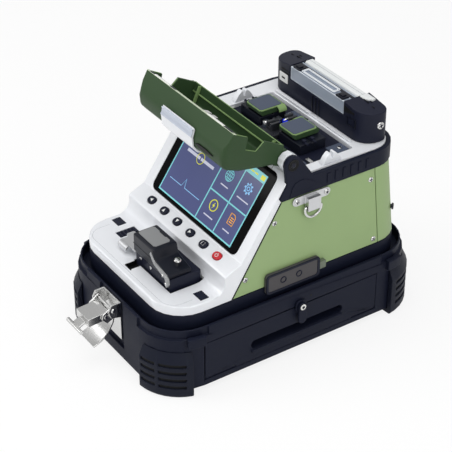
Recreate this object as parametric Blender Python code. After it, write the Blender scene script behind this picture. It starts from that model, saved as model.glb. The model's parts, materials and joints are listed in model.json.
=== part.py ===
"""Fibre fusion splicer standing in its carrying tray, with its wind cover open.

Metres, +Z up. The model is laid out from the middle of the tray, with X across the machine, -Y towards the
operator and Z from the ground up. One empty carries everything and puts the origin under the middle of the
whole footprint. Moving pieces hang on empties that stand on their joint axes.
"""

import math

import bmesh
import bpy
from mathutils import Matrix, Vector

GAP = 0.0003                    # clearance between pieces that touch
CUT = 0.002                     # how far a cutter reaches past the face it opens

# Splicer body
BODY_HALF = 0.0655
BODY_FRONT_Y = -0.1046
BODY_FRONT_CORNER = 0.026
BODY_BASE_Z = 0.0634
BODY_REAR_Y = 0.105
BODY_REAR_CORNER = 0.026
BODY_TOP_REAR_Y = 0.095
BODY_TOP_CORNER = 0.022
PANEL = 0.0022
PANEL_HEIGHT = 0.0672
PANEL_TOP_Z = BODY_BASE_Z + PANEL_HEIGHT
CHASSIS_WALL = 0.003
DECK_RISE = 0.0071
DECK_Z = BODY_BASE_Z + DECK_RISE
STEP_Y = -0.0585
STEP_COVE = 0.0095
STEP_RISE = 0.015
STRIP_FRONT_Z = DECK_Z + STEP_RISE
STRIP_REAR_Y = -0.045
STRIP_RISE = 0.0055
STRIP_REAR_Z = STRIP_FRONT_Z + STRIP_RISE
SEAM_BASE_Y = -0.053
SEAM_TOP_Y = -0.012
SEAM_TOP_Z = PANEL_TOP_Z - 2 * GAP / 3
REAR_SEAM_BASE_Y = 0.0775
REAR_SEAM_TOP_Y = 0.0705

# Carrying tray
TRAY_SIDE_MARGIN = 0.0075
TRAY_END_MARGIN = 0.009
TRAY_WIDTH = 2 * (BODY_HALF + TRAY_SIDE_MARGIN)
TRAY_DEPTH = 2 * (max(BODY_REAR_Y, -BODY_FRONT_Y) + TRAY_END_MARGIN)
TRAY_CORNER = 0.033
TRAY_BASE_Z = 0.004
RIM_HEIGHT = 0.009
TRAY_WALL = 0.0032
SHELF_DROP = 0.0174
TRAY_SHELF_Z = BODY_BASE_Z - SHELF_DROP
TRAY_RIM_Z = TRAY_SHELF_Z + RIM_HEIGHT
RELIEF_DROP = 0.007
RELIEF_RUN = 0.004
RELIEF_CUT = 0.002
LUG_SPREAD = 28.0
LUG_PROUD = 0.0035
LUG_Z = 0.042
LUG_HEIGHT = 0.008
LATCH_RECESS_HALF = 0.016
LATCH_RECESS_Z = 0.014
LATCH_RECESS_DEPTH = 0.0022

# Corner bumpers
BUMPER_PROUD = 0.0045
BUMPER_FRONT_TOP_Z = 0.038
BUMPER_REAR_TOP_Z = 0.0415
BUMPER_STARTS = {"front": 17.0, "rear": 6.0}
BUMPER_STOP = 84.0
BUMPER_FOOT = 0.014
SLOT_ROWS = 4
SLOT_HEIGHT = 0.0028
SLOT_DEPTH = 0.0016
SLOT_FIRST_Z = 0.008
SLOT_PITCH = 0.0062
SLOT_INSET = 8.0
SLOT_SPLIT = (57.0, 61.5)
SLOT_END = 3.0

# Drawer
DRAWER_LENGTH = 0.153
DRAWER_Y = -0.004
DRAWER_BASE_Z = 0.009
DRAWER_HEIGHT = 0.032
DRAWER_BACK = 0.008
DRAWER_DEPTH = TRAY_WIDTH - DRAWER_BACK
DRAWER_WALL = 0.002
DRAWER_FRONT = 0.012
PULL_LENGTH = 0.082
PULL_HEIGHT = 0.007
PULL_DEPTH = 0.009
PULL_Z = 0.019
PULL_LIP = 0.0015
PULL_LIP_HEIGHT = 0.0032
TURN_LATCH_Y = 0.0015
TURN_LATCH_Z = 0.042
TURN_LATCH_HALF = 0.0037
TURN_LATCH_REACH = 0.0145
TURN_LATCH_THICK = 0.0022
TURN_LUG_THICK = 0.0017
TURN_SEAT_HALF = 0.0047
PIVOT_SCREW = 0.0012

# Draw latch on the front of the tray
LATCH_PLATE_HALF = 0.012
LATCH_PLATE_THICK = 0.0014
LATCH_PLATE_Z = 0.020
LATCH_PLATE_TOP_Z = 0.053
LATCH_PIVOT_OUT = 0.0055
LATCH_PIVOT_Z = 0.048
LATCH_PIN = 0.0012
LATCH_SHEET = 0.0014
LATCH_EAR = ((-0.0015, 0.005), (-0.004, 0.0), (-0.002, -0.006))
LATCH_EAR_DROP = 0.008
LATCH_CHEEK = (
    (0.0025, 0.0015), (0.0, 0.003), (-0.0075, -0.002), (-0.0085, -0.006),
    (-0.0045, -0.0105), (0.0005, -0.008), (0.0025, -0.004),
)
LATCH_TAB = ((0.001, -0.006), (-0.0005, -0.012), (-0.0045, -0.0185), (-0.0105, -0.024), (-0.0167, -0.0265))
HOOK_PIVOT = (-0.005, -0.0045)
HOOK_END = -0.014
HOOK_ARM = ((0.0025, 0.003), (HOOK_END, 0.002), (HOOK_END, -0.0045), (0.001, -0.0035))
HOOK_TONGUE_Z = (-0.001, -0.003)
HOOK_BAR = (-0.0205, -0.0055)
HOOK_BAR_HALF = 0.0102
HOOK_BAR_RADIUS = 0.0016

# Display and keys
SCREEN_TILT = 55.6
SCREEN_RUN = 0.0705
BEZEL_TOP_THICK = 0.005
BEZEL_EDGE = 0.0015
GLASS_LIP = 0.001
WINDOW_DEPTH = 0.021
GLASS_MARGIN = 0.0099
GLASS_HALF = BODY_HALF - GLASS_MARGIN
GLASS_LENGTH = 0.066
GLASS_THICK = 0.0016
GLASS_CORNER = 0.005
PANEL_INSET = 0.0051
PANEL_HALF = GLASS_HALF - PANEL_INSET
PANEL_MARGIN = 0.0035
PANEL_THICK = 0.0035
KEY_PITCH = 0.01756
KEY_HALF_LONG = 0.0042
KEY_HALF_SHORT = 0.0031
KEY_PROUD = 0.0011
KEY_LENGTH = 0.0032
KEY_TRAVEL = 0.0008
KEY_NAMES = ("key_back", "key_up", "key_down", "key_right", "key_set", "power_key")

# Top frame and trim
FRAME_RISE = 0.0144
FRAME_THICK = 0.006
FRAME_TOP_Z = PANEL_TOP_Z + FRAME_RISE
FRAME_BASE_Z = FRAME_TOP_Z - FRAME_THICK
TRIM_SEAM = 0.0004
TRIM_BASE_Z = PANEL_TOP_Z + TRIM_SEAM
TRIM_STEP = 0.0005
TRIM_TOP_Z = FRAME_TOP_Z - TRIM_STEP
TRIM_PROUD = 0.0008
TRIM_THICK = 0.0034
STAGE_LEFT_MARGIN = 0.0185
STAGE_RIGHT_MARGIN = 0.0125
STAGE_LEFT_X = STAGE_LEFT_MARGIN - BODY_HALF
STAGE_RIGHT_X = BODY_HALF - STAGE_RIGHT_MARGIN
STAGE_FRONT_Y = 0.012
STAGE_REAR_Y = 0.060
STAGE_DROP = 0.003
STAGE_TOP_Z = FRAME_TOP_Z - STAGE_DROP
STAGE_THICK = 0.004
STAGE_CORNER = 0.002
TRIM_FRONT_Y = 0.012
FRAME_FRONT_CORNER = 0.002
FRAME_SETBACK = 0.002

# Wind cover
HINGE_Y = -0.0026
HINGE_RISE = 0.013
HINGE_Z = FRAME_TOP_Z + HINGE_RISE
HINGE_EAR = 0.0068
EAR_KNEE = 0.005
EAR_FOOT_Y = 0.015
EAR_REAR_Y = 0.030
EAR_TOE = 0.003
HINGE_KNUCKLE = 0.007
HINGE_LUG = 0.0062
HINGE_LUG_WIDTH = 0.006
HINGE_LUG_HEEL = 0.0062
HINGE_LUG_HEAD = 0.0075
KNUCKLE_WIDTH = 0.006
KNUCKLE_FOOT = 0.011
KNUCKLE_SUNK = 0.001
KNUCKLE_FRONT = 0.004
PIN_RADIUS = 0.0024
COVER_HALF = BODY_HALF + TRIM_PROUD - TRIM_THICK - KNUCKLE_WIDTH - 4 * GAP
COVER_WALL = 0.0022
COVER_EDGE = 0.005
COVER_OPEN = 155.0
COVER_LINE = (
    (0.0050, -0.0095), (0.0030, 0.0040), (0.0045, 0.0068), (0.0340, 0.0150), (0.0450, 0.0155),
    (0.0500, 0.0130), (0.0535, 0.0070), (0.0543, 0.0015), (0.0523, -0.0120),
)
NOTCH_Y = (0.020, 0.037)
NOTCH_DROP = 0.002
NOTCH_SLANT = 0.0024
HANDLE_HALF = 0.020
HANDLE_THICK = 0.0016

# Splicing stage
FIBRE_Y = 0.035
FIBRE_RISE = 0.0075
FIBRE_Z = STAGE_TOP_Z + FIBRE_RISE
GROOVE_HALF = 0.009
GROOVE_DEPTH = 0.032
GROOVE_BASE = 0.0032
RIDGE_HALF = 0.003
POST_HALF = 0.0035
POST_NEAR = 0.0045
POST_FAR = 0.0115
VEE = 0.001
ELECTRODE = 0.0011
CARRIAGE_INNER = 0.0115
CARRIAGE_LENGTH = 0.026
CARRIAGE_FRONT = 0.011
CARRIAGE_HEIGHT = 0.0082
CARRIAGE_TOP_Z = STAGE_TOP_Z + CARRIAGE_HEIGHT
CLAMP_LENGTH = 0.0185
CLAMP_THICK = 0.005
CLAMP_NOSE = 0.002
CLAMP_HINGE = 0.0022
CLAMP_HINGE_BACK = 0.0097
GUIDE_WIDTH = 0.0048
GUIDE_RIGHT_X = STAGE_RIGHT_X + 0.0033
GUIDE_LEFT_X = STAGE_LEFT_X - 0.0012
GUIDE_SIDES = {
    "right": (GUIDE_RIGHT_X, GUIDE_RIGHT_X + GUIDE_WIDTH),
    "left": (GUIDE_LEFT_X - GUIDE_WIDTH, GUIDE_LEFT_X),
}
GUIDE_HALF = 0.0085
GUIDE_SHOULDER = 0.0052
GUIDE_SHOULDER_RISE = 0.0055
GUIDE_TOOTH_RISE = 0.0023
GUIDE_SHOULDER_Z = FRAME_TOP_Z + GUIDE_SHOULDER_RISE
GUIDE_TOOTH_Z = GUIDE_SHOULDER_Z + GUIDE_TOOTH_RISE
GUIDE_SLOT = 0.0012
OPTIC_RADIUS = 0.008
OPTIC_NEAR = 0.018
OPTIC_LENGTH = 0.034
MOTOR_RADIUS = 0.008
MOTOR_LENGTH = 0.028
MOTOR_X = 0.018

# Tube heater
HEATER_MARGIN = 0.008
HEATER_HALF = BODY_HALF - HEATER_MARGIN
HEATER_FRONT_Y = 0.0655
HEATER_REAR_Y = 0.0888
HEATER_HEIGHT = 0.027
HEATER_TOP_Z = FRAME_TOP_Z + HEATER_HEIGHT
HEATER_END_DROP = 0.0035
HEATER_END_Z = HEATER_TOP_Z - HEATER_END_DROP
HEATER_FRONT_CORNER = 0.014
HEATER_REAR_CORNER = 0.007
TROUGH_HALF = 0.0328
TROUGH_DEPTH = 0.0117
TROUGH_BASE_Z = HEATER_TOP_Z - TROUGH_DEPTH
TROUGH_REAR_Y = 0.0782
HEATER_TRAY_HEIGHT = 0.006
HEATER_GROOVE_HALF = 0.0035
HEATER_GROOVE_FLOOR = 0.002
LID_WALL = 0.0016
LID_DROP = 0.0008
LID_TOP_Z = HEATER_TOP_Z - LID_DROP
HEATER_COVER_THICK = 0.006
HEATER_COVER_Z = HEATER_TOP_Z - HEATER_COVER_THICK
HEATER_COVER_EDGE = 0.003

# Cleaver on the deck
CLEAVER_LEFT_X = -0.006
CLEAVER_RIGHT_X = 0.0405
CLEAVER_FRONT_Y = -0.0884
CLEAVER_REAR_Y = -0.0625
CLEAVER_RISE = 0.009
ARM_HEIGHT = 0.0155
CLEAVER_SPLIT_Z = DECK_Z + CLEAVER_RISE
CLEAVER_TOP_Z = CLEAVER_SPLIT_Z + ARM_HEIGHT
CLEAVER_HINGE = 0.0019
ARM_FRONT_Y = -0.0902
ARM_REAR_Y = -0.070
ARM_CROWN_X = 0.021
ARM_SHOULDER_X = 0.0235
ARM_SHOULDER_DROP = 0.0078
ARM_SHOULDER_Z = CLEAVER_TOP_Z - ARM_SHOULDER_DROP
ARM_EDGE = 0.001
GUIDE_PLATE_LEFT_X = -0.031
GUIDE_PLATE_FRONT_Y = -0.0905
GUIDE_PLATE_REAR_Y = -0.0745
GUIDE_PLATE_RISE = 0.006
GUIDE_PLATE_Z = DECK_Z + GUIDE_PLATE_RISE
GUIDE_PLATE_THICK = 0.0014
GUIDE_PLATE_LIP = 0.0035
WELL_DEPTH = 0.004
WELL_Z = DECK_Z - WELL_DEPTH
WELL_MARGIN = 0.0011
WELL_SLOT = ((-0.0058, -0.098), (0.002, -0.0884))
DECK_SLOT = ((-0.0448, -0.083), (-0.0368, -0.067))
DECK_PAD_MARGIN = 0.009
DECK_PAD_X = BODY_HALF - DECK_PAD_MARGIN
DECK_PAD_Y = -0.073
DECK_PAD_HALF = (0.0052, 0.0036)
DECK_PAD_DEPTH = 0.001

# Side fittings
PORT_FRONT_Y = -0.0255
PORT_REAR_Y = 0.022
PORT_DROP = 0.0057
PORT_HEIGHT = 0.0167
PORT_BASE_Z = BODY_BASE_Z - PORT_DROP
PORT_TOP_Z = PORT_BASE_Z + PORT_HEIGHT
PORT_THICK = 0.0028
PORT_CORNER = 0.003
PORT_PULL = 0.005
PORT_PULL_HALF = 0.003
JACK_RADIUS = 0.0026
PLUG_HALF = (0.0045, 0.0016)
SOCKET_MARGIN = 0.005
SOCKET_RISE = 0.0021
SOCKET_BASE_Z = BODY_BASE_Z + SOCKET_RISE
SOCKET_DEPTH = 0.008
STRAP_Y = 0.0136
STRAP_DROP = 0.0036
STRAP_Z = PANEL_TOP_Z - STRAP_DROP
STRAP_HALF = 0.0129
STRAP_TAB = 0.0036
STRAP_PLATE = 0.0012
RING_DROP = 0.0065
RING_Z = STRAP_Z - RING_DROP
RING_HALF = 0.0072
RING_WIRE = 0.0011

# Electronics
BOARD_THICK = 0.0016
BOARD_RISE = 0.0026
BOARD_Z = BODY_BASE_Z + BOARD_RISE
BOARD_MARGIN = 0.0025
BOARD_FRONT_Y = -0.042
BOARD_REAR_Y = 0.070
POST = 0.006
BATTERY_MARGIN = 0.0205
BATTERY_HALF = BODY_HALF - BATTERY_MARGIN
BATTERY_LENGTH = 0.080
BATTERY_HEIGHT = 0.010

ARC_STEPS = 6


def material(name, colour, roughness, metallic=0.0, alpha=1.0):
    """A plain surface with the colour, roughness and metal look of one finish."""
    made = bpy.data.materials.new(name)
    made.use_nodes = True
    shader = made.node_tree.nodes["Principled BSDF"]
    shader.inputs["Base Color"].default_value = (*colour, 1.0)
    shader.inputs["Roughness"].default_value = roughness
    shader.inputs["Metallic"].default_value = metallic
    shader.inputs["Alpha"].default_value = alpha
    return made


def arc(centre, radius, start, end, steps=ARC_STEPS):
    """Points along a circular arc, angles in degrees."""
    turns = [math.radians(start + (end - start) * n / steps) for n in range(steps + 1)]
    return [(centre[0] + radius * math.cos(t), centre[1] + radius * math.sin(t)) for t in turns]


def rounded(low, high, radius_low, radius_high=None):
    """A rectangle with round corners: one radius on its low side and one on its high side."""
    top = radius_low if radius_high is None else radius_high
    (x0, y0), (x1, y1) = low, high
    return (
        arc((x0 + radius_low, y0 + radius_low), radius_low, 180, 270)
        + arc((x1 - radius_low, y0 + radius_low), radius_low, 270, 360)
        + arc((x1 - top, y1 - top), top, 0, 90)
        + arc((x0 + top, y1 - top), top, 90, 180)
    )


def grown(points, distance):
    """An outline moved outwards by a distance, with its corners kept sharp."""
    area = sum(a[0] * b[1] - b[0] * a[1] for a, b in zip(points, points[1:] + points[:1]))
    side = distance if area > 0 else -distance
    moved = []
    for n, here in enumerate(points):
        before = (Vector(here) - Vector(points[n - 1])).normalized()
        after = (Vector(points[(n + 1) % len(points)]) - Vector(here)).normalized()
        first = Vector((before.y, -before.x))
        second = Vector((after.y, -after.x))
        moved.append(tuple(Vector(here) + side * (first + second) / (1.0 + first.dot(second))))
    return moved


def bent_sheet(line, thickness):
    """The outline of a sheet of one thickness that follows an open line, on its left side."""
    far = []
    for n, here in enumerate(line):
        ahead = Vector(line[min(n + 1, len(line) - 1)]) - Vector(line[max(n - 1, 0)])
        left = Vector((-ahead.y, ahead.x)).normalized()
        far.append(tuple(Vector(here) + left * thickness))
    return line + far[::-1]


AXES = {
    "X": lambda a, b, along: (along, a, b),
    "Y": lambda a, b, along: (a, along, b),
    "Z": lambda a, b, along: (a, b, along),
}


def prism(points, start, end, axis="Z"):
    """An outline in the plane across an axis, extruded from start to end along it."""
    put = AXES[axis]
    solid = bmesh.new()
    face = solid.faces.new([solid.verts.new(put(a, b, start)) for a, b in points])
    grown_face = bmesh.ops.extrude_face_region(solid, geom=[face])
    moved = [v for v in grown_face["geom"] if isinstance(v, bmesh.types.BMVert)]
    bmesh.ops.translate(solid, verts=moved, vec=put(0.0, 0.0, end - start))
    bmesh.ops.recalc_face_normals(solid, faces=solid.faces)
    return solid


def block(low, high):
    """A box between two corners."""
    size = [b - a for a, b in zip(low, high)]
    middle = [(a + b) / 2 for a, b in zip(low, high)]
    solid = bmesh.new()
    place = Matrix.Translation(middle) @ Matrix.Diagonal((*size, 1.0))
    bmesh.ops.create_cube(solid, size=1.0, matrix=place)
    return solid


def rod(start, end, radius, sides=16, tip=None):
    """A round bar between two points, or a cone where the tip has its own radius."""
    line = Vector(end) - Vector(start)
    turn = line.to_track_quat("Z", "Y").to_matrix().to_4x4()
    place = Matrix.Translation((Vector(start) + Vector(end)) / 2) @ turn
    solid = bmesh.new()
    bmesh.ops.create_cone(
        solid, cap_ends=True, segments=sides, radius1=radius,
        radius2=radius if tip is None else tip, depth=line.length, matrix=place,
    )
    return solid


def gathered(*solids):
    """Several closed shapes in one mesh, for cutting with or for joining on."""
    whole = bmesh.new()
    for solid in solids:
        carrier = bpy.data.meshes.new("shape")
        solid.to_mesh(carrier)
        solid.free()
        whole.from_mesh(carrier)
        bpy.data.meshes.remove(carrier)
    return whole


def swept(stations, profile):
    """A profile of (offset, height) points carried along stations of (point, outward normal)."""
    solid = bmesh.new()
    rings = [
        [solid.verts.new((p[0] + n[0] * out, p[1] + n[1] * out, z)) for out, z in profile]
        for p, n in stations
    ]
    count = len(profile)
    for here, there in zip(rings, rings[1:]):
        for k in range(count):
            solid.faces.new((here[k], here[(k + 1) % count], there[(k + 1) % count], there[k]))
    solid.faces.new(rings[0])
    solid.faces.new(rings[-1])
    bmesh.ops.recalc_face_normals(solid, faces=solid.faces)
    return solid


def carrier(name, place, parent=None, turn=0.0):
    """An empty on a joint axis, turned about X by an angle in degrees."""
    made = bpy.data.objects.new(name, None)
    bpy.context.collection.objects.link(made)
    made.parent = parent
    made.location = Vector(place) - (Vector(parent["at"]) if parent else Vector())
    made.rotation_euler.x = math.radians(turn)
    made["at"] = place
    return made


def placed(name, solid, on):
    """A mesh object from a shape given in layout coordinates, hung on its empty."""
    mesh = bpy.data.meshes.new(name)
    solid.to_mesh(mesh)
    solid.free()
    made = bpy.data.objects.new(name, mesh)
    bpy.context.collection.objects.link(made)
    made.parent = on
    made.location = -Vector(on["at"])
    return made


def piece(name, solid, finish, on):
    """One sub-part: its mesh, its finish and smooth shading with sharp edges kept."""
    made = placed(name, solid, on)
    made.data.materials.append(finish)
    made.data.shade_smooth()
    made.data.set_sharp_from_angle(angle=math.radians(30))
    return made


def combine(made, solid, operation, label):
    """Cut, join or keep a shape on a piece with a Boolean, the helper left as a wire guide."""
    helper = placed(f"{made.name}_{label}", solid, made.parent)
    helper.hide_render = True
    helper.display_type = "WIRE"
    boolean = made.modifiers.new(label, "BOOLEAN")
    boolean.operation = operation
    boolean.object = helper
    return made


def cut(made, *solids):
    """Take shapes away from a piece."""
    return combine(made, gathered(*solids), "DIFFERENCE", f"cut_{len(made.modifiers)}")


def join(made, *solids):
    """Fuse overlapping shapes onto a piece, one at a time."""
    for solid in solids:
        combine(made, solid, "UNION", f"join_{len(made.modifiers)}")
    return made


def keep(made, solid):
    """Keep only what lies inside a shape."""
    return combine(made, solid, "INTERSECT", f"keep_{len(made.modifiers)}")


def corner_turn(side, end, start, stop, steps=8):
    """Stations round part of one tray corner, from the side wall at 0 degrees to the end wall at 90."""
    half_x, half_y = TRAY_WIDTH / 2 - TRAY_CORNER, TRAY_DEPTH / 2 - TRAY_CORNER
    stations = []
    for a, b in arc((0.0, 0.0), 1.0, start, stop, steps):
        place = (side * (half_x + a * TRAY_CORNER), end * (half_y + b * TRAY_CORNER))
        stations.append((place, (side * a, end * b)))
    return stations


def tray_corner(side, end, run):
    """Stations round one whole corner of the tray wall, with a straight run at each end."""
    turn = corner_turn(side, end, 0, 90)
    (x0, y0), (x1, y1) = turn[0][0], turn[-1][0]
    return [((x0, y0 - end * run), (side, 0.0)), *turn, ((x1 - side * run, y1), (0.0, end))]


CORNERS = {
    "front_right": (1, -1), "front_left": (-1, -1), "rear_right": (1, 1), "rear_left": (-1, 1),
}


def tray_outline(inset):
    """The tray's plan outline, moved inwards."""
    x, y = TRAY_WIDTH / 2 - inset, TRAY_DEPTH / 2 - inset
    return rounded((-x, -y), (x, y), TRAY_CORNER - inset)


def build_tray(root, finish):
    """The moulded tray: the shelf for the body above, and the drawer's bay below it."""
    half_x, front_y = TRAY_WIDTH / 2, -TRAY_DEPTH / 2
    tray = piece("case_tray", prism(tray_outline(0.0), TRAY_BASE_Z, TRAY_RIM_Z), finish, root)
    bay = block(
        (half_x - DRAWER_DEPTH - GAP, DRAWER_Y - DRAWER_LENGTH / 2 - GAP, DRAWER_BASE_Z - GAP),
        (half_x + CUT, DRAWER_Y + DRAWER_LENGTH / 2 + GAP, DRAWER_BASE_Z + DRAWER_HEIGHT + GAP),
    )
    recess = block(
        (-LATCH_RECESS_HALF, front_y - CUT, LATCH_RECESS_Z),
        (LATCH_RECESS_HALF, front_y + LATCH_RECESS_DEPTH, TRAY_RIM_Z + CUT),
    )
    cut(tray, prism(tray_outline(TRAY_WALL), TRAY_SHELF_Z, TRAY_RIM_Z + CUT), bay, recess)
    relief = [
        (-RELIEF_CUT, TRAY_RIM_Z - RELIEF_DROP), (CUT, TRAY_RIM_Z - RELIEF_DROP),
        (CUT, TRAY_RIM_Z + CUT), (-RELIEF_CUT, TRAY_RIM_Z + CUT),
    ]
    cut(tray, *(swept(tray_corner(*c, RELIEF_RUN), relief) for c in CORNERS.values()))
    lug_top = LUG_Z + LUG_HEIGHT
    lug = [(-CUT / 2, LUG_Z), (LUG_PROUD, LUG_Z), (LUG_PROUD, lug_top), (-CUT / 2, lug_top)]
    steps = slice(1, 2 + round(8 * LUG_SPREAD / 90))
    join(tray, *(swept(tray_corner(*c, RELIEF_RUN)[steps], lug) for c in CORNERS.values()))


def build_bumpers(root, finish):
    """Rubber corner bumpers that wrap under the tray as its feet."""
    for name, corner in CORNERS.items():
        start = BUMPER_STARTS[name.split("_")[0]]
        top = BUMPER_FRONT_TOP_Z if corner[1] < 0 else BUMPER_REAR_TOP_Z
        profile = [
            (GAP, top), (GAP, TRAY_BASE_Z - GAP), (-BUMPER_FOOT, TRAY_BASE_Z - GAP), (-BUMPER_FOOT, 0.0),
            (BUMPER_PROUD * 0.7, 0.0), (BUMPER_PROUD, TRAY_BASE_Z / 2),
            (BUMPER_PROUD, top - 2 * BUMPER_PROUD),
        ]
        stations = corner_turn(*corner, start, BUMPER_STOP)
        columns = ((start + SLOT_INSET, SLOT_SPLIT[0]), (SLOT_SPLIT[1], BUMPER_STOP - SLOT_END))
        bumper = piece(f"bumper_{name}", swept(stations, profile), finish, root)
        slots = []
        for row in range(SLOT_ROWS):
            low = SLOT_FIRST_Z + row * SLOT_PITCH
            inner, outer = BUMPER_PROUD - SLOT_DEPTH, BUMPER_PROUD + CUT
            slot = [(inner, low), (outer, low), (outer, low + SLOT_HEIGHT), (inner, low + SLOT_HEIGHT)]
            slots += [swept(corner_turn(*corner, *column, 4), slot) for column in columns]
        cut(bumper, *slots)


def build_drawer(root, finish, steel):
    """The accessory drawer with its pull slot, and the turn latch on its front."""
    face_x = TRAY_WIDTH / 2
    front_y, rear_y = DRAWER_Y - DRAWER_LENGTH / 2, DRAWER_Y + DRAWER_LENGTH / 2
    top_z = DRAWER_BASE_Z + DRAWER_HEIGHT
    slide = carrier("drawer_slide", (face_x, 0.0, DRAWER_BASE_Z), root)
    box = block((face_x - DRAWER_DEPTH, front_y, DRAWER_BASE_Z), (face_x, rear_y, top_z))
    drawer = piece("drawer", box, finish, slide)
    inside = block(
        (face_x - DRAWER_DEPTH + DRAWER_WALL, front_y + DRAWER_WALL, DRAWER_BASE_Z + DRAWER_WALL),
        (face_x - DRAWER_FRONT, rear_y - DRAWER_WALL, top_z + CUT),
    )
    end = PULL_HEIGHT / 2
    pull = rounded((-PULL_LENGTH / 2, PULL_Z), (PULL_LENGTH / 2, PULL_Z + PULL_HEIGHT), end * 0.98)
    cut(drawer, inside, prism(pull, face_x - PULL_DEPTH, face_x + CUT, "X"))
    lip_top = PULL_Z - GAP
    lip = rounded(
        (-PULL_LENGTH / 2, lip_top - PULL_LIP_HEIGHT), (PULL_LENGTH / 2, lip_top), PULL_LIP_HEIGHT * 0.48
    )
    lug_x = face_x + GAP + TURN_LUG_THICK
    width = TURN_SEAT_HALF
    seat = rounded(
        (TURN_LATCH_Y - width, TURN_LATCH_Z - width), (TURN_LATCH_Y + width, TURN_LATCH_Z + width),
        TURN_LATCH_HALF,
    )
    foot = block(
        (face_x - CUT, TURN_LATCH_Y - TURN_LATCH_HALF, top_z - width),
        (lug_x - GAP, TURN_LATCH_Y + TURN_LATCH_HALF, top_z - GAP),
    )
    join(
        drawer,
        prism(lip, face_x - CUT, face_x + PULL_LIP, "X"),
        foot,
        prism(seat, face_x + GAP, lug_x, "X"),
    )
    pivot = (TURN_LATCH_Y, TURN_LATCH_Z)
    hole = arc(pivot, PIVOT_SCREW + GAP, 0, 330, 11)
    cut(drawer, prism(hole, face_x - CUT / 2, lug_x + CUT, "X"))
    turn = carrier("turn_latch_pivot", (lug_x, *pivot), slide)
    latch_x = lug_x + GAP
    low = TURN_LATCH_Z - TURN_LATCH_REACH + TURN_LATCH_HALF
    outline = arc(pivot, TURN_LATCH_HALF, 0, 180) + arc((TURN_LATCH_Y, low), TURN_LATCH_HALF, 180, 360)
    bar = prism(outline, latch_x, latch_x + TURN_LATCH_THICK, "X")
    latch = piece("drawer_turn_latch", bar, finish, turn)
    head = PIVOT_SCREW * 2
    head_x = latch_x + TURN_LATCH_THICK / 2
    seat_hole = prism(arc(pivot, head + GAP, 0, 330, 11), head_x - GAP, head_x + TURN_LATCH_THICK, "X")
    cut(latch, prism(hole, latch_x - CUT, head_x + GAP, "X"))
    cut(latch, seat_hole)
    screw = piece(
        "drawer_latch_screw",
        rod((face_x, *pivot), (head_x + GAP, *pivot), PIVOT_SCREW, 12), steel, slide,
    )
    join(screw, rod((head_x, *pivot), (latch_x + TURN_LATCH_THICK, *pivot), head, 12))


def moved(points, y, z):
    """A side outline given about a pivot, moved to where the pivot lies."""
    return [(y + a, z + b) for a, b in points]


def build_latch(root, steel):
    """The draw latch that holds a carrying lid: base plate, pin, lever and hook arm."""
    wall_y = -TRAY_DEPTH / 2 + LATCH_RECESS_DEPTH - GAP
    plate_y = wall_y - LATCH_PLATE_THICK
    half, sheet = LATCH_PLATE_HALF, LATCH_SHEET
    py, pz = plate_y - LATCH_PIVOT_OUT, LATCH_PIVOT_Z
    plate = piece(
        "front_latch_plate",
        block((-half, plate_y, LATCH_PLATE_Z), (half, wall_y, LATCH_PLATE_TOP_Z)), steel, root,
    )
    root_y = plate_y + LATCH_PLATE_THICK / 2
    ear = [(root_y, pz - LATCH_EAR_DROP), (root_y, LATCH_PLATE_TOP_Z), *moved(LATCH_EAR, py, pz)]
    join(plate, prism(ear, half - sheet, half, "X"), prism(ear, -half, sheet - half, "X"))
    reach = half + 2 * GAP
    cut(plate, rod((-half - CUT, py, pz), (half + CUT, py, pz), LATCH_PIN + GAP, 12))
    piece("front_latch_pin", rod((-reach, py, pz), (reach, py, pz), LATCH_PIN, 12), steel, root)

    lever_on = carrier("latch_lever_pivot", (0.0, py, pz), root)
    inner = half - sheet - GAP
    ((hook_y, hook_z),) = moved([HOOK_PIVOT], py, pz)
    cheek = moved(LATCH_CHEEK, py, pz)
    tab = prism(bent_sheet(moved(LATCH_TAB, py, pz), sheet), GAP - inner, inner - GAP, "X")
    lever = piece("front_latch_lever", tab, steel, lever_on)
    join(lever, prism(cheek, inner - sheet, inner, "X"), prism(cheek, -inner, sheet - inner, "X"))
    cut(
        lever,
        rod((-inner - CUT, py, pz), (inner + CUT, py, pz), LATCH_PIN + GAP, 12),
        rod((-inner - CUT, hook_y, hook_z), (inner + CUT, hook_y, hook_z), LATCH_PIN + GAP, 12),
    )

    hook_on = carrier("latch_hook_pivot", (0.0, hook_y, hook_z), lever_on)
    arm_half = inner - sheet - GAP
    arm = prism(moved(HOOK_ARM, hook_y, hook_z), -arm_half, arm_half, "X")
    hook = piece("front_latch_hook", arm, steel, hook_on)
    bar_y, bar_z = hook_y + HOOK_BAR[0], hook_z + HOOK_BAR[1]
    start_y, (high_z, low_z) = hook_y + HOOK_END + CUT, HOOK_TONGUE_Z
    tongue = [
        (start_y, hook_z + high_z), (bar_y, bar_z + sheet / 2),
        (bar_y, bar_z - sheet / 2), (start_y, hook_z + low_z),
    ]
    join(
        hook,
        prism(tongue, -arm_half / 2, arm_half / 2, "X"),
        rod((-HOOK_BAR_HALF, bar_y, bar_z), (HOOK_BAR_HALF, bar_y, bar_z), HOOK_BAR_RADIUS, 12),
        rod((-inner, hook_y, hook_z), (inner, hook_y, hook_z), LATCH_PIN, 12),
    )


def seam_y(z):
    """Where the seam between bezel and side panel lies at a height."""
    share = (z - BODY_BASE_Z) / (SEAM_TOP_Z - BODY_BASE_Z)
    return SEAM_BASE_Y + share * (SEAM_TOP_Y - SEAM_BASE_Y)


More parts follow.
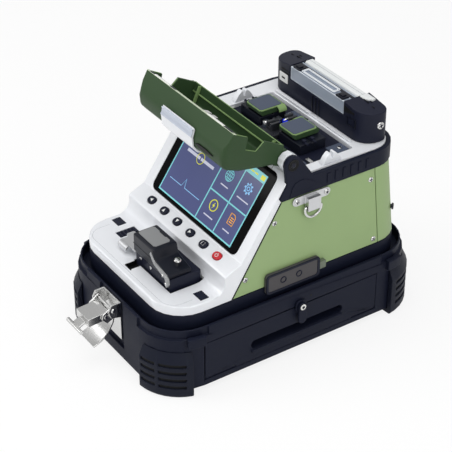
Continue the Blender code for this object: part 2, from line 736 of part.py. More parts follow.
def trim_ear():
    """Side outline of the trim's front end, with the ear round the cover's hinge."""
    return [
        (EAR_REAR_Y, TRIM_BASE_Z), (EAR_REAR_Y, TRIM_TOP_Z), (EAR_FOOT_Y, TRIM_TOP_Z),
        *arc((HINGE_Y, HINGE_Z), HINGE_EAR, 35, 180),
        (HINGE_Y - EAR_KNEE, TRIM_TOP_Z - EAR_TOE / 3), (SEAM_TOP_Y - EAR_TOE / 2, TRIM_BASE_Z + EAR_TOE),
        (SEAM_TOP_Y + GAP, TRIM_BASE_Z),
    ]


def body_outline(inset, rear_y, rear_corner):
    """The body's plan outline."""
    x = BODY_HALF - inset
    front = BODY_FRONT_CORNER - inset
    return rounded((-x, BODY_FRONT_Y + inset), (x, rear_y - inset), front, rear_corner - inset)


def build_chassis(root, finish, board, cell):
    """The pan under the body, with the battery on its floor and the main board on its posts."""
    base_z = TRAY_SHELF_Z + GAP
    floor_z = base_z + CHASSIS_WALL
    top_z = BODY_BASE_Z - GAP
    outline = body_outline(0.0, BODY_REAR_Y, BODY_REAR_CORNER)
    pan = piece("chassis_pan", prism(outline, base_z, top_z), finish, root)
    cut(pan, prism(body_outline(CHASSIS_WALL, BODY_REAR_Y, BODY_REAR_CORNER), floor_z, top_z + CUT))
    board_half = BODY_HALF - SOCKET_DEPTH - BOARD_MARGIN
    posts = []
    for x in (board_half - POST, -board_half):
        for y in (BOARD_FRONT_Y, BOARD_REAR_Y - POST):
            posts.append(block((x, y, floor_z - CHASSIS_WALL / 2), (x + POST, y + POST, BOARD_Z - GAP)))
    join(pan, *posts)
    low, high = (-board_half, BOARD_FRONT_Y, BOARD_Z), (board_half, BOARD_REAR_Y, BOARD_Z + BOARD_THICK)
    piece("main_board", block(low, high), board, root)
    middle = (BOARD_FRONT_Y + BOARD_REAR_Y) / 2
    battery = block(
        (-BATTERY_HALF, middle - BATTERY_LENGTH / 2, floor_z + GAP),
        (BATTERY_HALF, middle + BATTERY_LENGTH / 2, floor_z + GAP + BATTERY_HEIGHT),
    )
    piece("battery_pack", battery, cell, root)


def screen_point(along, depth):
    """Side position of a point up the screen slope, and below its face."""
    tilt = math.radians(SCREEN_TILT)
    return (
        STRIP_REAR_Y + along * math.cos(tilt) + depth * math.sin(tilt),
        STRIP_REAR_Z + along * math.sin(tilt) - depth * math.cos(tilt),
    )


def on_slope(solid, origin, tilt):
    """Turn a shape laid flat at the origin onto a slope that starts at a side position."""
    place = Matrix.Translation((0.0, *origin)) @ Matrix.Rotation(math.radians(tilt), 4, "X")
    bmesh.ops.transform(solid, matrix=place, verts=solid.verts)
    return solid


def oval(half_long, half_short, x, y):
    """The outline of a key: half circles joined by straight sides."""
    straight = half_long - half_short
    return arc((x + straight, y), half_short, -90, 90) + arc((x - straight, y), half_short, 90, 270)


def build_bezel(root, finishes):
    """The one-piece front: deck, cove, key strip and screen frame, with its glass and keys."""
    edge = BEZEL_EDGE
    cove_z = DECK_Z + STEP_COVE
    front = (
        [(BODY_FRONT_Y, BODY_BASE_Z)]
        + arc((BODY_FRONT_Y + edge, DECK_Z - edge), edge, 180, 90, 3)
        + arc((STEP_Y - STEP_COVE, cove_z), STEP_COVE, -90, 0)
        + [(STEP_Y, STRIP_FRONT_Z - edge), (STEP_Y + edge, STRIP_FRONT_Z), (STRIP_REAR_Y, STRIP_REAR_Z)]
    )
    back = [
        screen_point(SCREEN_RUN, 0.0), screen_point(SCREEN_RUN, BEZEL_TOP_THICK),
        (SEAM_TOP_Y, SEAM_TOP_Z), (SEAM_BASE_Y, BODY_BASE_Z),
    ]
    reach = BODY_HALF + CUT
    bezel = piece("front_bezel", prism(front + back, -reach, reach, "X"), finishes["silver"], root)
    keep(bezel, prism(body_outline(0.0, BODY_REAR_Y, BODY_REAR_CORNER), BODY_BASE_Z - CUT, HINGE_Z))
    inner_x = BODY_HALF + TRIM_PROUD - TRIM_THICK - GAP
    ear = grown(trim_ear(), GAP)
    cut(bezel, prism(ear, inner_x, BODY_HALF + CUT, "X"), prism(ear, -BODY_HALF - CUT, -inner_x, "X"))

    start = (STRIP_REAR_Y, STRIP_REAR_Z)
    lip = GLASS_LIP
    glass_low, glass_high = (-GLASS_HALF, lip), (GLASS_HALF, lip + GLASS_LENGTH)
    pane = rounded(glass_low, glass_high, GLASS_CORNER)
    seat = grown(pane, GAP)
    seat_depth = GLASS_THICK + GAP
    window_low = (-PANEL_HALF - GAP, lip + PANEL_MARGIN - GAP, -WINDOW_DEPTH)
    window_high = (PANEL_HALF + GAP, lip + GLASS_LENGTH - PANEL_MARGIN + GAP, -seat_depth + CUT)
    cut(bezel, on_slope(prism(seat, -seat_depth, CUT), start, SCREEN_TILT))
    cut(bezel, on_slope(block(window_low, window_high), start, SCREEN_TILT))
    glass = prism(pane, -GLASS_THICK, 0.0)
    piece("display_glass", on_slope(glass, start, SCREEN_TILT), finishes["glass"], root)
    panel = block(
        (-PANEL_HALF, lip + PANEL_MARGIN, -seat_depth - PANEL_THICK),
        (PANEL_HALF, lip + GLASS_LENGTH - PANEL_MARGIN, -seat_depth),
    )
    piece("display_panel", on_slope(panel, start, SCREEN_TILT), finishes["board"], root)

    strip_start = (STEP_Y + edge, STRIP_FRONT_Z)
    run, rise = STRIP_REAR_Y - strip_start[0], STRIP_REAR_Z - strip_start[1]
    strip_tilt = math.degrees(math.atan2(rise, run))
    middle = math.hypot(run, rise) / 2
    depth = KEY_LENGTH - KEY_PROUD
    holes = []
    for n, name in enumerate(KEY_NAMES):
        x = (n - (len(KEY_NAMES) - 1) / 2) * KEY_PITCH
        share = math.radians(strip_tilt)
        seat_at = (strip_start[0] + middle * math.cos(share), strip_start[1] + middle * math.sin(share))
        rim = oval(KEY_HALF_LONG + GAP, KEY_HALF_SHORT + GAP, x, middle)
        hole = prism(rim, -depth - KEY_TRAVEL - GAP, CUT)
        holes.append(on_slope(hole, strip_start, strip_tilt))
        key_on = carrier(f"{name}_seat", (x, *seat_at), root)
        key = prism(oval(KEY_HALF_LONG, KEY_HALF_SHORT, x, middle), -depth, KEY_PROUD)
        finish = finishes["red"] if name == "power_key" else finishes["dark"]
        piece(name, on_slope(key, strip_start, strip_tilt), finish, key_on)
    cut(bezel, *holes)

    well = block(
        (CLEAVER_LEFT_X - WELL_MARGIN, CLEAVER_FRONT_Y - WELL_MARGIN, WELL_Z),
        (CLEAVER_RIGHT_X + 2 * WELL_MARGIN, CLEAVER_REAR_Y + WELL_MARGIN, CLEAVER_TOP_Z),
    )
    slots = [block((*low, WELL_Z), (*high, DECK_Z + CUT)) for low, high in (WELL_SLOT, DECK_SLOT)]
    half_x, half_y = DECK_PAD_HALF
    pads = []
    for x in (-DECK_PAD_X, DECK_PAD_X):
        pads.append(block(
            (x - half_x, DECK_PAD_Y - half_y, DECK_Z - DECK_PAD_DEPTH),
            (x + half_x, DECK_PAD_Y + half_y, DECK_Z + CUT),
        ))
    cut(bezel, well)
    cut(bezel, *slots)
    cut(bezel, *pads)


def build_panels(root, green, rubber, board, steel):
    """Green side and rear panels, with the port cover and the strap fittings on the sides."""
    base_z = BODY_BASE_Z + GAP
    outline = [
        (SEAM_BASE_Y + 2 * GAP, base_z), (REAR_SEAM_BASE_Y, base_z),
        (REAR_SEAM_TOP_Y, PANEL_TOP_Z), (seam_y(PANEL_TOP_Z) + 2 * GAP, PANEL_TOP_Z),
    ]
    ear = grown(trim_ear(), GAP)
    for name, side in (("right", 1), ("left", -1)):
        skin, inside = sorted((side * BODY_HALF, side * (BODY_HALF - PANEL)))
        panel = piece(f"side_panel_{name}", prism(outline, skin, inside, "X"), green, root)
        cut(panel, prism(ear, skin - CUT, inside + CUT, "X"))
        if side > 0:
            window = block(
                (BODY_HALF - PANEL - CUT, PORT_FRONT_Y + SOCKET_MARGIN, SOCKET_BASE_Z),
                (BODY_HALF + CUT, PORT_REAR_Y - SOCKET_MARGIN, PORT_TOP_Z - GAP * 4),
            )
            cut(panel, window)
        build_strap(name, side, root, steel)

    def ring(z, rear_y, corner, seam, inset):
        x = BODY_HALF - inset
        middle = (x + inset - corner, rear_y - corner)
        right = [(x, seam)] + arc(middle, corner - inset, 0, 90)
        return [(a, b, z) for a, b in right + [(-a, b) for a, b in reversed(right)]]

    shell = bmesh.new()
    loops = []
    for z, rear_y, corner, seam, inset in (
        (base_z, BODY_REAR_Y, BODY_REAR_CORNER, REAR_SEAM_BASE_Y + 2 * GAP, 0.0),
        (PANEL_TOP_Z, BODY_TOP_REAR_Y, BODY_TOP_CORNER, REAR_SEAM_TOP_Y + 2 * GAP, 0.0),
        (PANEL_TOP_Z, BODY_TOP_REAR_Y, BODY_TOP_CORNER, REAR_SEAM_TOP_Y + 2 * GAP, PANEL),
        (base_z, BODY_REAR_Y, BODY_REAR_CORNER, REAR_SEAM_BASE_Y + 2 * GAP, PANEL),
    ):
        loops.append([shell.verts.new(p) for p in ring(z, rear_y, corner, seam, inset)])
    for here, there in zip(loops, loops[1:] + loops[:1]):
        for k in range(len(here) - 1):
            shell.faces.new((here[k], here[k + 1], there[k + 1], there[k]))
    shell.faces.new([loop[0] for loop in loops])
    shell.faces.new([loop[-1] for loop in reversed(loops)])
    bmesh.ops.recalc_face_normals(shell, faces=shell.faces)
    piece("rear_panel", shell, green, root)

    skin_x = BODY_HALF + GAP
    flap_on = carrier("port_cover_fold", (skin_x + PORT_THICK, 0.0, PORT_BASE_Z), root)
    flap = rounded((PORT_FRONT_Y, PORT_BASE_Z), (PORT_REAR_Y, PORT_TOP_Z), PORT_CORNER)
    cover = piece("port_cover", prism(flap, skin_x, skin_x + PORT_THICK, "X"), rubber, flap_on)
    pull_z = (PORT_BASE_Z + PORT_TOP_Z) / 2
    pull = block(
        (skin_x + GAP, PORT_REAR_Y - CUT, pull_z - PORT_PULL_HALF),
        (skin_x + PORT_THICK - GAP, PORT_REAR_Y + PORT_PULL, pull_z + PORT_PULL_HALF),
    )
    join(cover, pull)
    low_y, high_y = PORT_FRONT_Y + SOCKET_MARGIN + GAP, PORT_REAR_Y - SOCKET_MARGIN - GAP
    low_z, high_z = SOCKET_BASE_Z + GAP, PORT_TOP_Z - GAP * 5
    ports = block((BODY_HALF - SOCKET_DEPTH, low_y, low_z), (BODY_HALF - GAP, high_y, high_z))
    sockets = piece("port_block", ports, board, root)
    middle_z = (low_z + high_z) / 2
    jack_y, slot_y = low_y + (high_y - low_y) * 0.25, low_y + (high_y - low_y) * 0.7
    deep, out = BODY_HALF - SOCKET_DEPTH * 0.7, BODY_HALF + CUT
    half_y, half_z = PLUG_HALF
    cut(
        sockets,
        rod((deep, jack_y, middle_z), (out, jack_y, middle_z), JACK_RADIUS, 12),
        block((deep, slot_y - half_y, middle_z - half_z), (out, slot_y + half_y, middle_z + half_z)),
    )


def build_strap(name, side, root, steel):
    """A half-round strap ring hanging in the folded loop of its bracket on one side panel."""
    skin = BODY_HALF + GAP
    bar_x = skin + STRAP_PLATE + RING_WIRE + 2 * GAP
    bend = RING_WIRE * 1.25

    def mirrored(solid):
        if side < 0:
            bmesh.ops.scale(solid, vec=(-1.0, 1.0, 1.0), verts=solid.verts)
            bmesh.ops.reverse_faces(solid, faces=solid.faces)
        return solid

    tabs = arc((STRAP_Y + STRAP_HALF, STRAP_Z), STRAP_TAB, -90, 90)
    tabs += arc((STRAP_Y - STRAP_HALF, STRAP_Z), STRAP_TAB, 90, 270)
    loop_half = RING_HALF - bend - GAP
    loop = block(
        (skin + STRAP_PLATE / 2, STRAP_Y - loop_half, RING_Z - RING_WIRE - STRAP_PLATE),
        (bar_x + RING_WIRE + STRAP_PLATE, STRAP_Y + loop_half, STRAP_Z + STRAP_TAB / 2),
    )
    reach = RING_WIRE + GAP
    tunnel = block(
        (bar_x - reach, STRAP_Y - RING_HALF, RING_Z - reach),
        (bar_x + reach, STRAP_Y + RING_HALF, RING_Z + reach),
    )
    plate = mirrored(prism(tabs, skin, skin + STRAP_PLATE, "X"))
    bracket = piece(f"strap_bracket_{name}", plate, steel, root)
    join(bracket, mirrored(loop))
    cut(bracket, mirrored(tunnel))
    swing = carrier(f"strap_ring_{name}_pivot", (side * bar_x, STRAP_Y, RING_Z), root)
    line = (
        arc((STRAP_Y, RING_Z - bend), RING_HALF, 180, 360, 12)
        + arc((STRAP_Y + RING_HALF - bend, RING_Z - bend), bend, 0, 90, 3)[1:]
        + arc((STRAP_Y - RING_HALF + bend, RING_Z - bend), bend, 90, 180, 3)[:-1]
    )
    wire = bmesh.new()
    loops = []
    for n, here in enumerate(line):
        ahead = Vector(line[(n + 1) % len(line)]) - Vector(line[n - 1])
        out = Vector((ahead.y, -ahead.x)).normalized()
        ring = []
        for a, b in arc((0.0, 0.0), RING_WIRE, 0, 315, 7):
            ring.append(wire.verts.new((bar_x + a, here[0] + out.x * b, here[1] + out.y * b)))
        loops.append(ring)
    for here, there in zip(loops, loops[1:] + loops[:1]):
        for k in range(len(here)):
            wire.faces.new((here[k], here[(k + 1) % len(here)], there[(k + 1) % len(here)], there[k]))
    bmesh.ops.recalc_face_normals(wire, faces=wire.faces)
    piece(f"strap_ring_{name}", mirrored(wire), steel, swing)


def build_top(root, silver, trim_finish, steel):
    """The silver top frame with the hinge knuckles, the dark trim round it, and the hinge pins."""
    skin = BODY_HALF + TRIM_PROUD
    inner = skin - TRIM_THICK
    rear_y = BODY_TOP_REAR_Y + TRIM_PROUD
    corner = BODY_TOP_CORNER + TRIM_PROUD
    stations = [((skin, TRIM_FRONT_Y), (1.0, 0.0))]
    mid_x, mid_y = skin - corner, rear_y - corner
    for a, b in arc((0.0, 0.0), 1.0, 0, 90):
        stations.append(((mid_x + a * corner, mid_y + b * corner), (a, b)))
    stations += [((-p[0], p[1]), (-n[0], n[1])) for p, n in reversed(stations)]
    band = [(0.0, TRIM_BASE_Z), (0.0, TRIM_TOP_Z), (-TRIM_THICK, TRIM_TOP_Z), (-TRIM_THICK, TRIM_BASE_Z)]
    trim = piece("top_trim", swept(stations, band), trim_finish, root)
    join(trim, prism(trim_ear(), inner, skin, "X"), prism(trim_ear(), -skin, -inner, "X"))
    cut(trim, rod((-skin - CUT, HINGE_Y, HINGE_Z), (skin + CUT, HINGE_Y, HINGE_Z), PIN_RADIUS + GAP))

    half = inner - GAP
    frame_corner = corner - TRIM_THICK - GAP
    front_y = screen_point(SCREEN_RUN, BEZEL_TOP_THICK)[0] + FRAME_SETBACK
    plan = rounded((-half, front_y), (half, rear_y - TRIM_THICK - GAP), FRAME_FRONT_CORNER, frame_corner)
    frame = piece("top_frame", prism(plan, FRAME_BASE_Z, FRAME_TOP_Z), silver, root)
    opening = rounded((STAGE_LEFT_X, STAGE_FRONT_Y), (STAGE_RIGHT_X, STAGE_REAR_Y), STAGE_CORNER)
    cut(frame, prism(opening, FRAME_BASE_Z - CUT, FRAME_TOP_Z + CUT))
    knuckle = [
        (front_y, FRAME_TOP_Z - KNUCKLE_SUNK), (front_y + KNUCKLE_FOOT, FRAME_TOP_Z - KNUCKLE_SUNK),
        *arc((HINGE_Y, HINGE_Z), HINGE_KNUCKLE, 0, 225), (front_y, FRAME_TOP_Z + KNUCKLE_FRONT),
    ]
    low = COVER_HALF + 2 * GAP
    high = low + KNUCKLE_WIDTH
    join(frame, prism(knuckle, low, high, "X"), prism(knuckle, -high, -low, "X"))
    cut(frame, rod((-half, HINGE_Y, HINGE_Z), (half, HINGE_Y, HINGE_Z), PIN_RADIUS + GAP))
    for name, side in (("right", 1), ("left", -1)):
        start, end = side * (COVER_HALF - HINGE_LUG_WIDTH + GAP), side * (skin - GAP)
        pin = rod((start, HINGE_Y, HINGE_Z), (end, HINGE_Y, HINGE_Z), PIN_RADIUS)
        piece(f"cover_pin_{name}", pin, steel, root)


def build_cover(root, green, silver):
    """The wind cover, modelled shut and carried open on its hinge, with its pull handle."""
    hinge = carrier("cover_hinge", (0.0, HINGE_Y, HINGE_Z), root, COVER_OPEN)
    outline = moved(COVER_LINE, HINGE_Y, HINGE_Z)
    solid = prism(outline, -COVER_HALF, COVER_HALF, "X")
    ends = [e for e in solid.edges if abs(e.verts[0].co.x - e.verts[1].co.x) < GAP]
    upper = [e for e in ends if min(v.co.z for v in e.verts) > HINGE_Z]
    bmesh.ops.bevel(
        solid, geom=upper, affect="EDGES", offset=COVER_EDGE, segments=3, profile=0.5, material=-1
    )
    cover = piece("wind_cover", solid, green, hinge)
    rim_low = min(z for _, z in outline)
    hollow = grown(outline, -COVER_WALL)
    hollow[0] = (hollow[0][0], rim_low - CUT)
    hollow[-1] = (hollow[-1][0], rim_low - CUT)
    cut(cover, prism(hollow, COVER_WALL - COVER_HALF, COVER_HALF - COVER_WALL, "X"))
    low_y, high_y = NOTCH_Y
    notch_z = HINGE_Z - NOTCH_DROP
    notch = [
        (low_y, rim_low - CUT), (high_y, rim_low - CUT), (high_y - NOTCH_SLANT, notch_z),
        (low_y + 2 * NOTCH_SLANT, notch_z), (low_y + NOTCH_SLANT / 2, rim_low + NOTCH_SLANT),
    ]
    cut(cover, prism(notch, -COVER_HALF - CUT, COVER_HALF + CUT, "X"))
    lug = [
        *arc((HINGE_Y, HINGE_Z), HINGE_LUG, 90, 270), (HINGE_Y + HINGE_LUG_HEEL, HINGE_Z - HINGE_LUG),
        (HINGE_Y + HINGE_LUG_HEAD, HINGE_Z + HINGE_LUG),
    ]
    inner = COVER_HALF - HINGE_LUG_WIDTH
    join(cover, prism(lug, inner, COVER_HALF, "X"), prism(lug, -COVER_HALF, -inner, "X"))
    reach = COVER_HALF + CUT
    cut(cover, rod((-reach, HINGE_Y, HINGE_Z), (reach, HINGE_Y, HINGE_Z), PIN_RADIUS + GAP))
    wrap = [outline[3], *outline[4:8]]
    wrap[0] = tuple((Vector(wrap[0]) + Vector(wrap[1])) / 2)
    closed = wrap + [outline[0]]
    inside, outside = grown(closed, GAP)[:-1], grown(closed, GAP + HANDLE_THICK)[:-1]
    piece(
        "wind_cover_handle", prism(inside + outside[::-1], -HANDLE_HALF, HANDLE_HALF, "X"), silver, hinge
    )


def build_stage(root, dark, ceramic, green, silver, steel):
    """The splicing stage: grooves, electrodes, sliding carriages, clamp levers, optics and motors."""
    plan = rounded(
        (STAGE_LEFT_X + GAP, STAGE_FRONT_Y + GAP), (STAGE_RIGHT_X - GAP, STAGE_REAR_Y - GAP), STAGE_CORNER
    )
    piece("stage_plate", prism(plan, STAGE_TOP_Z - STAGE_THICK, STAGE_TOP_Z), dark, root)
    seat_z = STAGE_TOP_Z + GAP
    base_z = seat_z + GROOVE_BASE
    foot = block(
        (-GROOVE_HALF, FIBRE_Y - GROOVE_DEPTH / 2, seat_z),
        (GROOVE_HALF, FIBRE_Y + GROOVE_DEPTH / 2, base_z),
    )
    groove = piece("v_groove_block", foot, ceramic, root)
    sunk = base_z - GROOVE_BASE / 3
    ridge = [
        (FIBRE_Y - RIDGE_HALF, sunk), (FIBRE_Y + RIDGE_HALF, sunk), (FIBRE_Y + RIDGE_HALF, FIBRE_Z),
        (FIBRE_Y + VEE, FIBRE_Z), (FIBRE_Y, FIBRE_Z - VEE), (FIBRE_Y - VEE, FIBRE_Z),
        (FIBRE_Y - RIDGE_HALF, FIBRE_Z),
    ]
    way, bottom, top = ELECTRODE + GAP, FIBRE_Z - ELECTRODE - GAP, FIBRE_Z + 2 * ELECTRODE
    post = [
        (-POST_HALF, sunk), (POST_HALF, sunk), (POST_HALF, top), (way, top),
        (way, bottom), (-way, bottom), (-way, top), (-POST_HALF, top),
    ]
    outer = GROOVE_HALF - VEE
    join(
        groove,
        prism(ridge, RIDGE_HALF, outer, "X"),
        prism(ridge, -outer, -RIDGE_HALF, "X"),
        prism(post, FIBRE_Y - POST_FAR, FIBRE_Y - POST_NEAR, "Y"),
        prism(post, FIBRE_Y + POST_NEAR, FIBRE_Y + POST_FAR, "Y"),
    )
    build_electrodes(root, steel)
    build_optics(root, dark, steel)
    for name, side in (("right", 1), ("left", -1)):
        build_carriage(name, side, seat_z, root, dark, green)
        low_x, high_x = GUIDE_SIDES[name]
        step = GUIDE_SHOULDER - 2 * GUIDE_SLOT
        guide = [
            (FIBRE_Y - GUIDE_HALF, FRAME_TOP_Z + GAP), (FIBRE_Y + GUIDE_HALF, FRAME_TOP_Z + GAP),
            (FIBRE_Y + GUIDE_SHOULDER, GUIDE_SHOULDER_Z), (FIBRE_Y + step, GUIDE_TOOTH_Z),
            (FIBRE_Y + GUIDE_SLOT, GUIDE_TOOTH_Z), (FIBRE_Y + GUIDE_SLOT / 2, FIBRE_Z - VEE),
            (FIBRE_Y - GUIDE_SLOT / 2, FIBRE_Z - VEE), (FIBRE_Y - GUIDE_SLOT, GUIDE_TOOTH_Z),
            (FIBRE_Y - step, GUIDE_TOOTH_Z), (FIBRE_Y - GUIDE_SHOULDER, GUIDE_SHOULDER_Z),
        ]
        piece(f"fibre_guide_{name}", prism(guide, low_x, high_x, "X"), silver, root)


def build_electrodes(root, steel):
    """The two pointed electrodes that face each other across the fibre."""
    for name, side in (("front", -1), ("rear", 1)):
        far = (0.0, FIBRE_Y + side * (POST_FAR - VEE), FIBRE_Z)
        near = (0.0, FIBRE_Y + side * (POST_NEAR - VEE), FIBRE_Z)
        neck = (0.0, near[1] + side * GAP, FIBRE_Z)
        point = (0.0, FIBRE_Y + side * ELECTRODE, FIBRE_Z)
        electrode = piece(f"electrode_{name}", rod(far, near, ELECTRODE, 12), steel, root)
        join(electrode, rod(neck, point, ELECTRODE * 0.98, 12, ELECTRODE / 5))


def build_optics(root, dark, steel):
    """The two microscope tubes and the two feed motors under the stage plate."""
    under_z = STAGE_TOP_Z - STAGE_THICK - GAP
    focus = Vector((0.0, FIBRE_Y, FIBRE_Z))
    for name, side in (("front", -1), ("rear", 1)):
        slant = Vector((0.0, side, -1.0)).normalized()
        start, end = OPTIC_NEAR - OPTIC_RADIUS, OPTIC_NEAR + OPTIC_LENGTH
        tube = rod(focus + slant * start, focus + slant * end, OPTIC_RADIUS)
        optic = piece(f"microscope_{name}", tube, dark, root)
        above = block(
            (-2 * OPTIC_RADIUS, FIBRE_Y - end, under_z), (2 * OPTIC_RADIUS, FIBRE_Y + end, FIBRE_Z + end)
        )
        cut(optic, above)
    motor_z = under_z - MOTOR_RADIUS
    for name, side in (("right", 1), ("left", -1)):
        near, far = side * MOTOR_X, side * (MOTOR_X + MOTOR_LENGTH)
        motor = rod((near, FIBRE_Y, motor_z), (far, FIBRE_Y, motor_z), MOTOR_RADIUS)
        piece(f"feed_motor_{name}", motor, steel, root)


def build_carriage(name, side, seat_z, root, dark, green):
    """A fibre carriage that slides along the fibre, with its hinged clamp lever."""
    inner, outer = side * CARRIAGE_INNER, side * (CARRIAGE_INNER + CARRIAGE_LENGTH)
    slide = carrier(f"carriage_{name}_slide", (inner, FIBRE_Y, seat_z), root)
    front = FIBRE_Y - CARRIAGE_FRONT
    hinge_y = FIBRE_Y + CLAMP_HINGE_BACK
    hinge_z = CARRIAGE_TOP_Z + CLAMP_HINGE + GAP
    rear = hinge_y + CLAMP_HINGE
    shape = [
        (front, seat_z), (rear, seat_z), (rear, CARRIAGE_TOP_Z), (FIBRE_Y + VEE, CARRIAGE_TOP_Z),
        (FIBRE_Y, CARRIAGE_TOP_Z - VEE), (FIBRE_Y - VEE, CARRIAGE_TOP_Z), (front, CARRIAGE_TOP_Z),
    ]
    piece(f"carriage_{name}", prism(shape, *sorted((inner, outer)), "X"), dark, slide)
    pivot = carrier(f"clamp_{name}_pivot", (inner, hinge_y, hinge_z), slide)
    low_z = CARRIAGE_TOP_Z + GAP
    high_z = low_z + CLAMP_THICK
    lever = [
        (front + CLAMP_NOSE, low_z), *arc((hinge_y, hinge_z), CLAMP_HINGE, -90, 90, 6),
        (hinge_y - CLAMP_HINGE, high_z), (front, high_z), (front, low_z + CLAMP_NOSE),
    ]
    start, end = sorted((inner, inner + side * CLAMP_LENGTH))
    piece(f"clamp_lever_{name}", prism(lever, start, end, "X"), green, pivot)


def build_heater(root, dark, steel, clear, pale):
    """The tube heater across the back: housing, tray, clear lid and the pale cover behind it."""
    base_z = FRAME_TOP_Z + GAP
    plan = rounded(
        (-HEATER_HALF, HEATER_FRONT_Y), (HEATER_HALF, HEATER_REAR_Y),
        HEATER_FRONT_CORNER, HEATER_REAR_CORNER,
    )
    housing = piece("heater_housing", prism(plan, base_z, HEATER_TOP_Z), dark, root)
    reach = HEATER_HALF + CUT
    crown = [
        (-reach, base_z - CUT), (reach, base_z - CUT), (reach, HEATER_END_Z),
        (TROUGH_HALF, HEATER_TOP_Z), (-TROUGH_HALF, HEATER_TOP_Z), (-reach, HEATER_END_Z),
    ]
    keep(housing, prism(crown, HEATER_FRONT_Y - CUT, HEATER_REAR_Y + CUT, "Y"))
    trough = block(
        (-TROUGH_HALF, HEATER_FRONT_Y - CUT, TROUGH_BASE_Z),
        (TROUGH_HALF, TROUGH_REAR_Y, HEATER_TOP_Z + CUT),
    )
    shelf = block(
        (-TROUGH_HALF, TROUGH_REAR_Y - CUT, HEATER_COVER_Z - GAP),
        (TROUGH_HALF, HEATER_REAR_Y + CUT, HEATER_TOP_Z + CUT),
    )
    cut(housing, trough)
    cut(housing, shelf)
    half = TROUGH_HALF - GAP
    tray_front, tray_rear = HEATER_FRONT_Y + LID_WALL + 3 * GAP, TROUGH_REAR_Y - GAP
    low_z = TROUGH_BASE_Z + GAP
    rim_z, floor_z = low_z + HEATER_TRAY_HEIGHT, low_z + HEATER_GROOVE_FLOOR
    middle = (tray_front + tray_rear) / 2
    floor_half = HEATER_GROOVE_HALF / 2
    tray = [
        (tray_front, low_z), (tray_rear, low_z), (tray_rear, rim_z), (middle + HEATER_GROOVE_HALF, rim_z),
        (middle + floor_half, floor_z), (middle - floor_half, floor_z),
        (middle - HEATER_GROOVE_HALF, rim_z), (tray_front, rim_z),
    ]
    piece("heater_tray", prism(tray, -half, half, "X"), steel, root)
    hinge = (0.0, TROUGH_REAR_Y - GAP, LID_TOP_Z - LID_WALL / 2)
    lid_on = carrier("heater_lid_hinge", hinge, root)
    front = HEATER_FRONT_Y + GAP
    lid = [
        (front, low_z), (front + LID_WALL, low_z), (front + LID_WALL, LID_TOP_Z - LID_WALL),
        (hinge[1], LID_TOP_Z - LID_WALL), (hinge[1], LID_TOP_Z), (front, LID_TOP_Z),
    ]
    piece("heater_lid", prism(lid, -half, half, "X"), clear, lid_on)
    seat, edge = TROUGH_REAR_Y + 2 * GAP, HEATER_COVER_EDGE
    top = [
        (seat, HEATER_COVER_Z), (HEATER_REAR_Y, HEATER_COVER_Z), (HEATER_REAR_Y, HEATER_TOP_Z - edge),
        (HEATER_REAR_Y - edge, HEATER_TOP_Z), (seat + edge / 3, HEATER_TOP_Z),
        (seat, HEATER_TOP_Z - edge / 3),
    ]
    piece("heater_top_cover", prism(top, -half, half, "X"), pale, root)


def build_cleaver(root, dark, steel):
    """The fibre cleaver stowed in the deck: body, hinged arm and bent guide plate."""
    left, right = CLEAVER_LEFT_X, CLEAVER_RIGHT_X
    body = block((left, CLEAVER_FRONT_Y, WELL_Z + GAP), (right, CLEAVER_REAR_Y, CLEAVER_SPLIT_Z))
    piece("cleaver_body", body, dark, root)
    base_z = CLEAVER_SPLIT_Z + GAP
    hinge_x, hinge_z = right - CLEAVER_HINGE, base_z + CLEAVER_HINGE
    hinge = carrier("cleaver_arm_hinge", (hinge_x, ARM_FRONT_Y, hinge_z), root)
    arm = [
        (left, base_z), *arc((hinge_x, hinge_z), CLEAVER_HINGE, -90, 90, 4),
        (ARM_SHOULDER_X, ARM_SHOULDER_Z),
        (ARM_CROWN_X + ARM_EDGE, CLEAVER_TOP_Z - ARM_EDGE), (ARM_CROWN_X, CLEAVER_TOP_Z),
        (left + ARM_EDGE, CLEAVER_TOP_Z), (left, CLEAVER_TOP_Z - ARM_EDGE),
    ]
    piece("cleaver_arm", prism(arm, ARM_FRONT_Y, ARM_REAR_Y, "Y"), dark, hinge)
    front, sheet = GUIDE_PLATE_FRONT_Y, GUIDE_PLATE_THICK
    plate = [
        (front, GUIDE_PLATE_Z - GUIDE_PLATE_LIP), (front + sheet, GUIDE_PLATE_Z - GUIDE_PLATE_LIP),
        (front + sheet, GUIDE_PLATE_Z), (GUIDE_PLATE_REAR_Y, GUIDE_PLATE_Z),
        (GUIDE_PLATE_REAR_Y, GUIDE_PLATE_Z + sheet), (front, GUIDE_PLATE_Z + sheet),
    ]
    piece("cleaver_guide_plate", prism(plate, GUIDE_PLATE_LEFT_X, left - GAP, "X"), steel, root)


def centre_footprint(root):
    """Move the root so that the origin lies under the middle of the whole model."""
    bpy.context.view_layer.update()
    view = bpy.context.evaluated_depsgraph_get()
    lows, highs = [], []
    for made in bpy.data.objects:
        if made.type == "MESH" and not made.hide_render:
            shown = made.evaluated_get(view)
            depths = [(made.matrix_world @ v.co).y for v in shown.data.vertices]
            lows.append(min(depths))
            highs.append(max(depths))
    root.location.y = -(min(lows) + max(highs)) / 2
    bpy.context.view_layer.update()


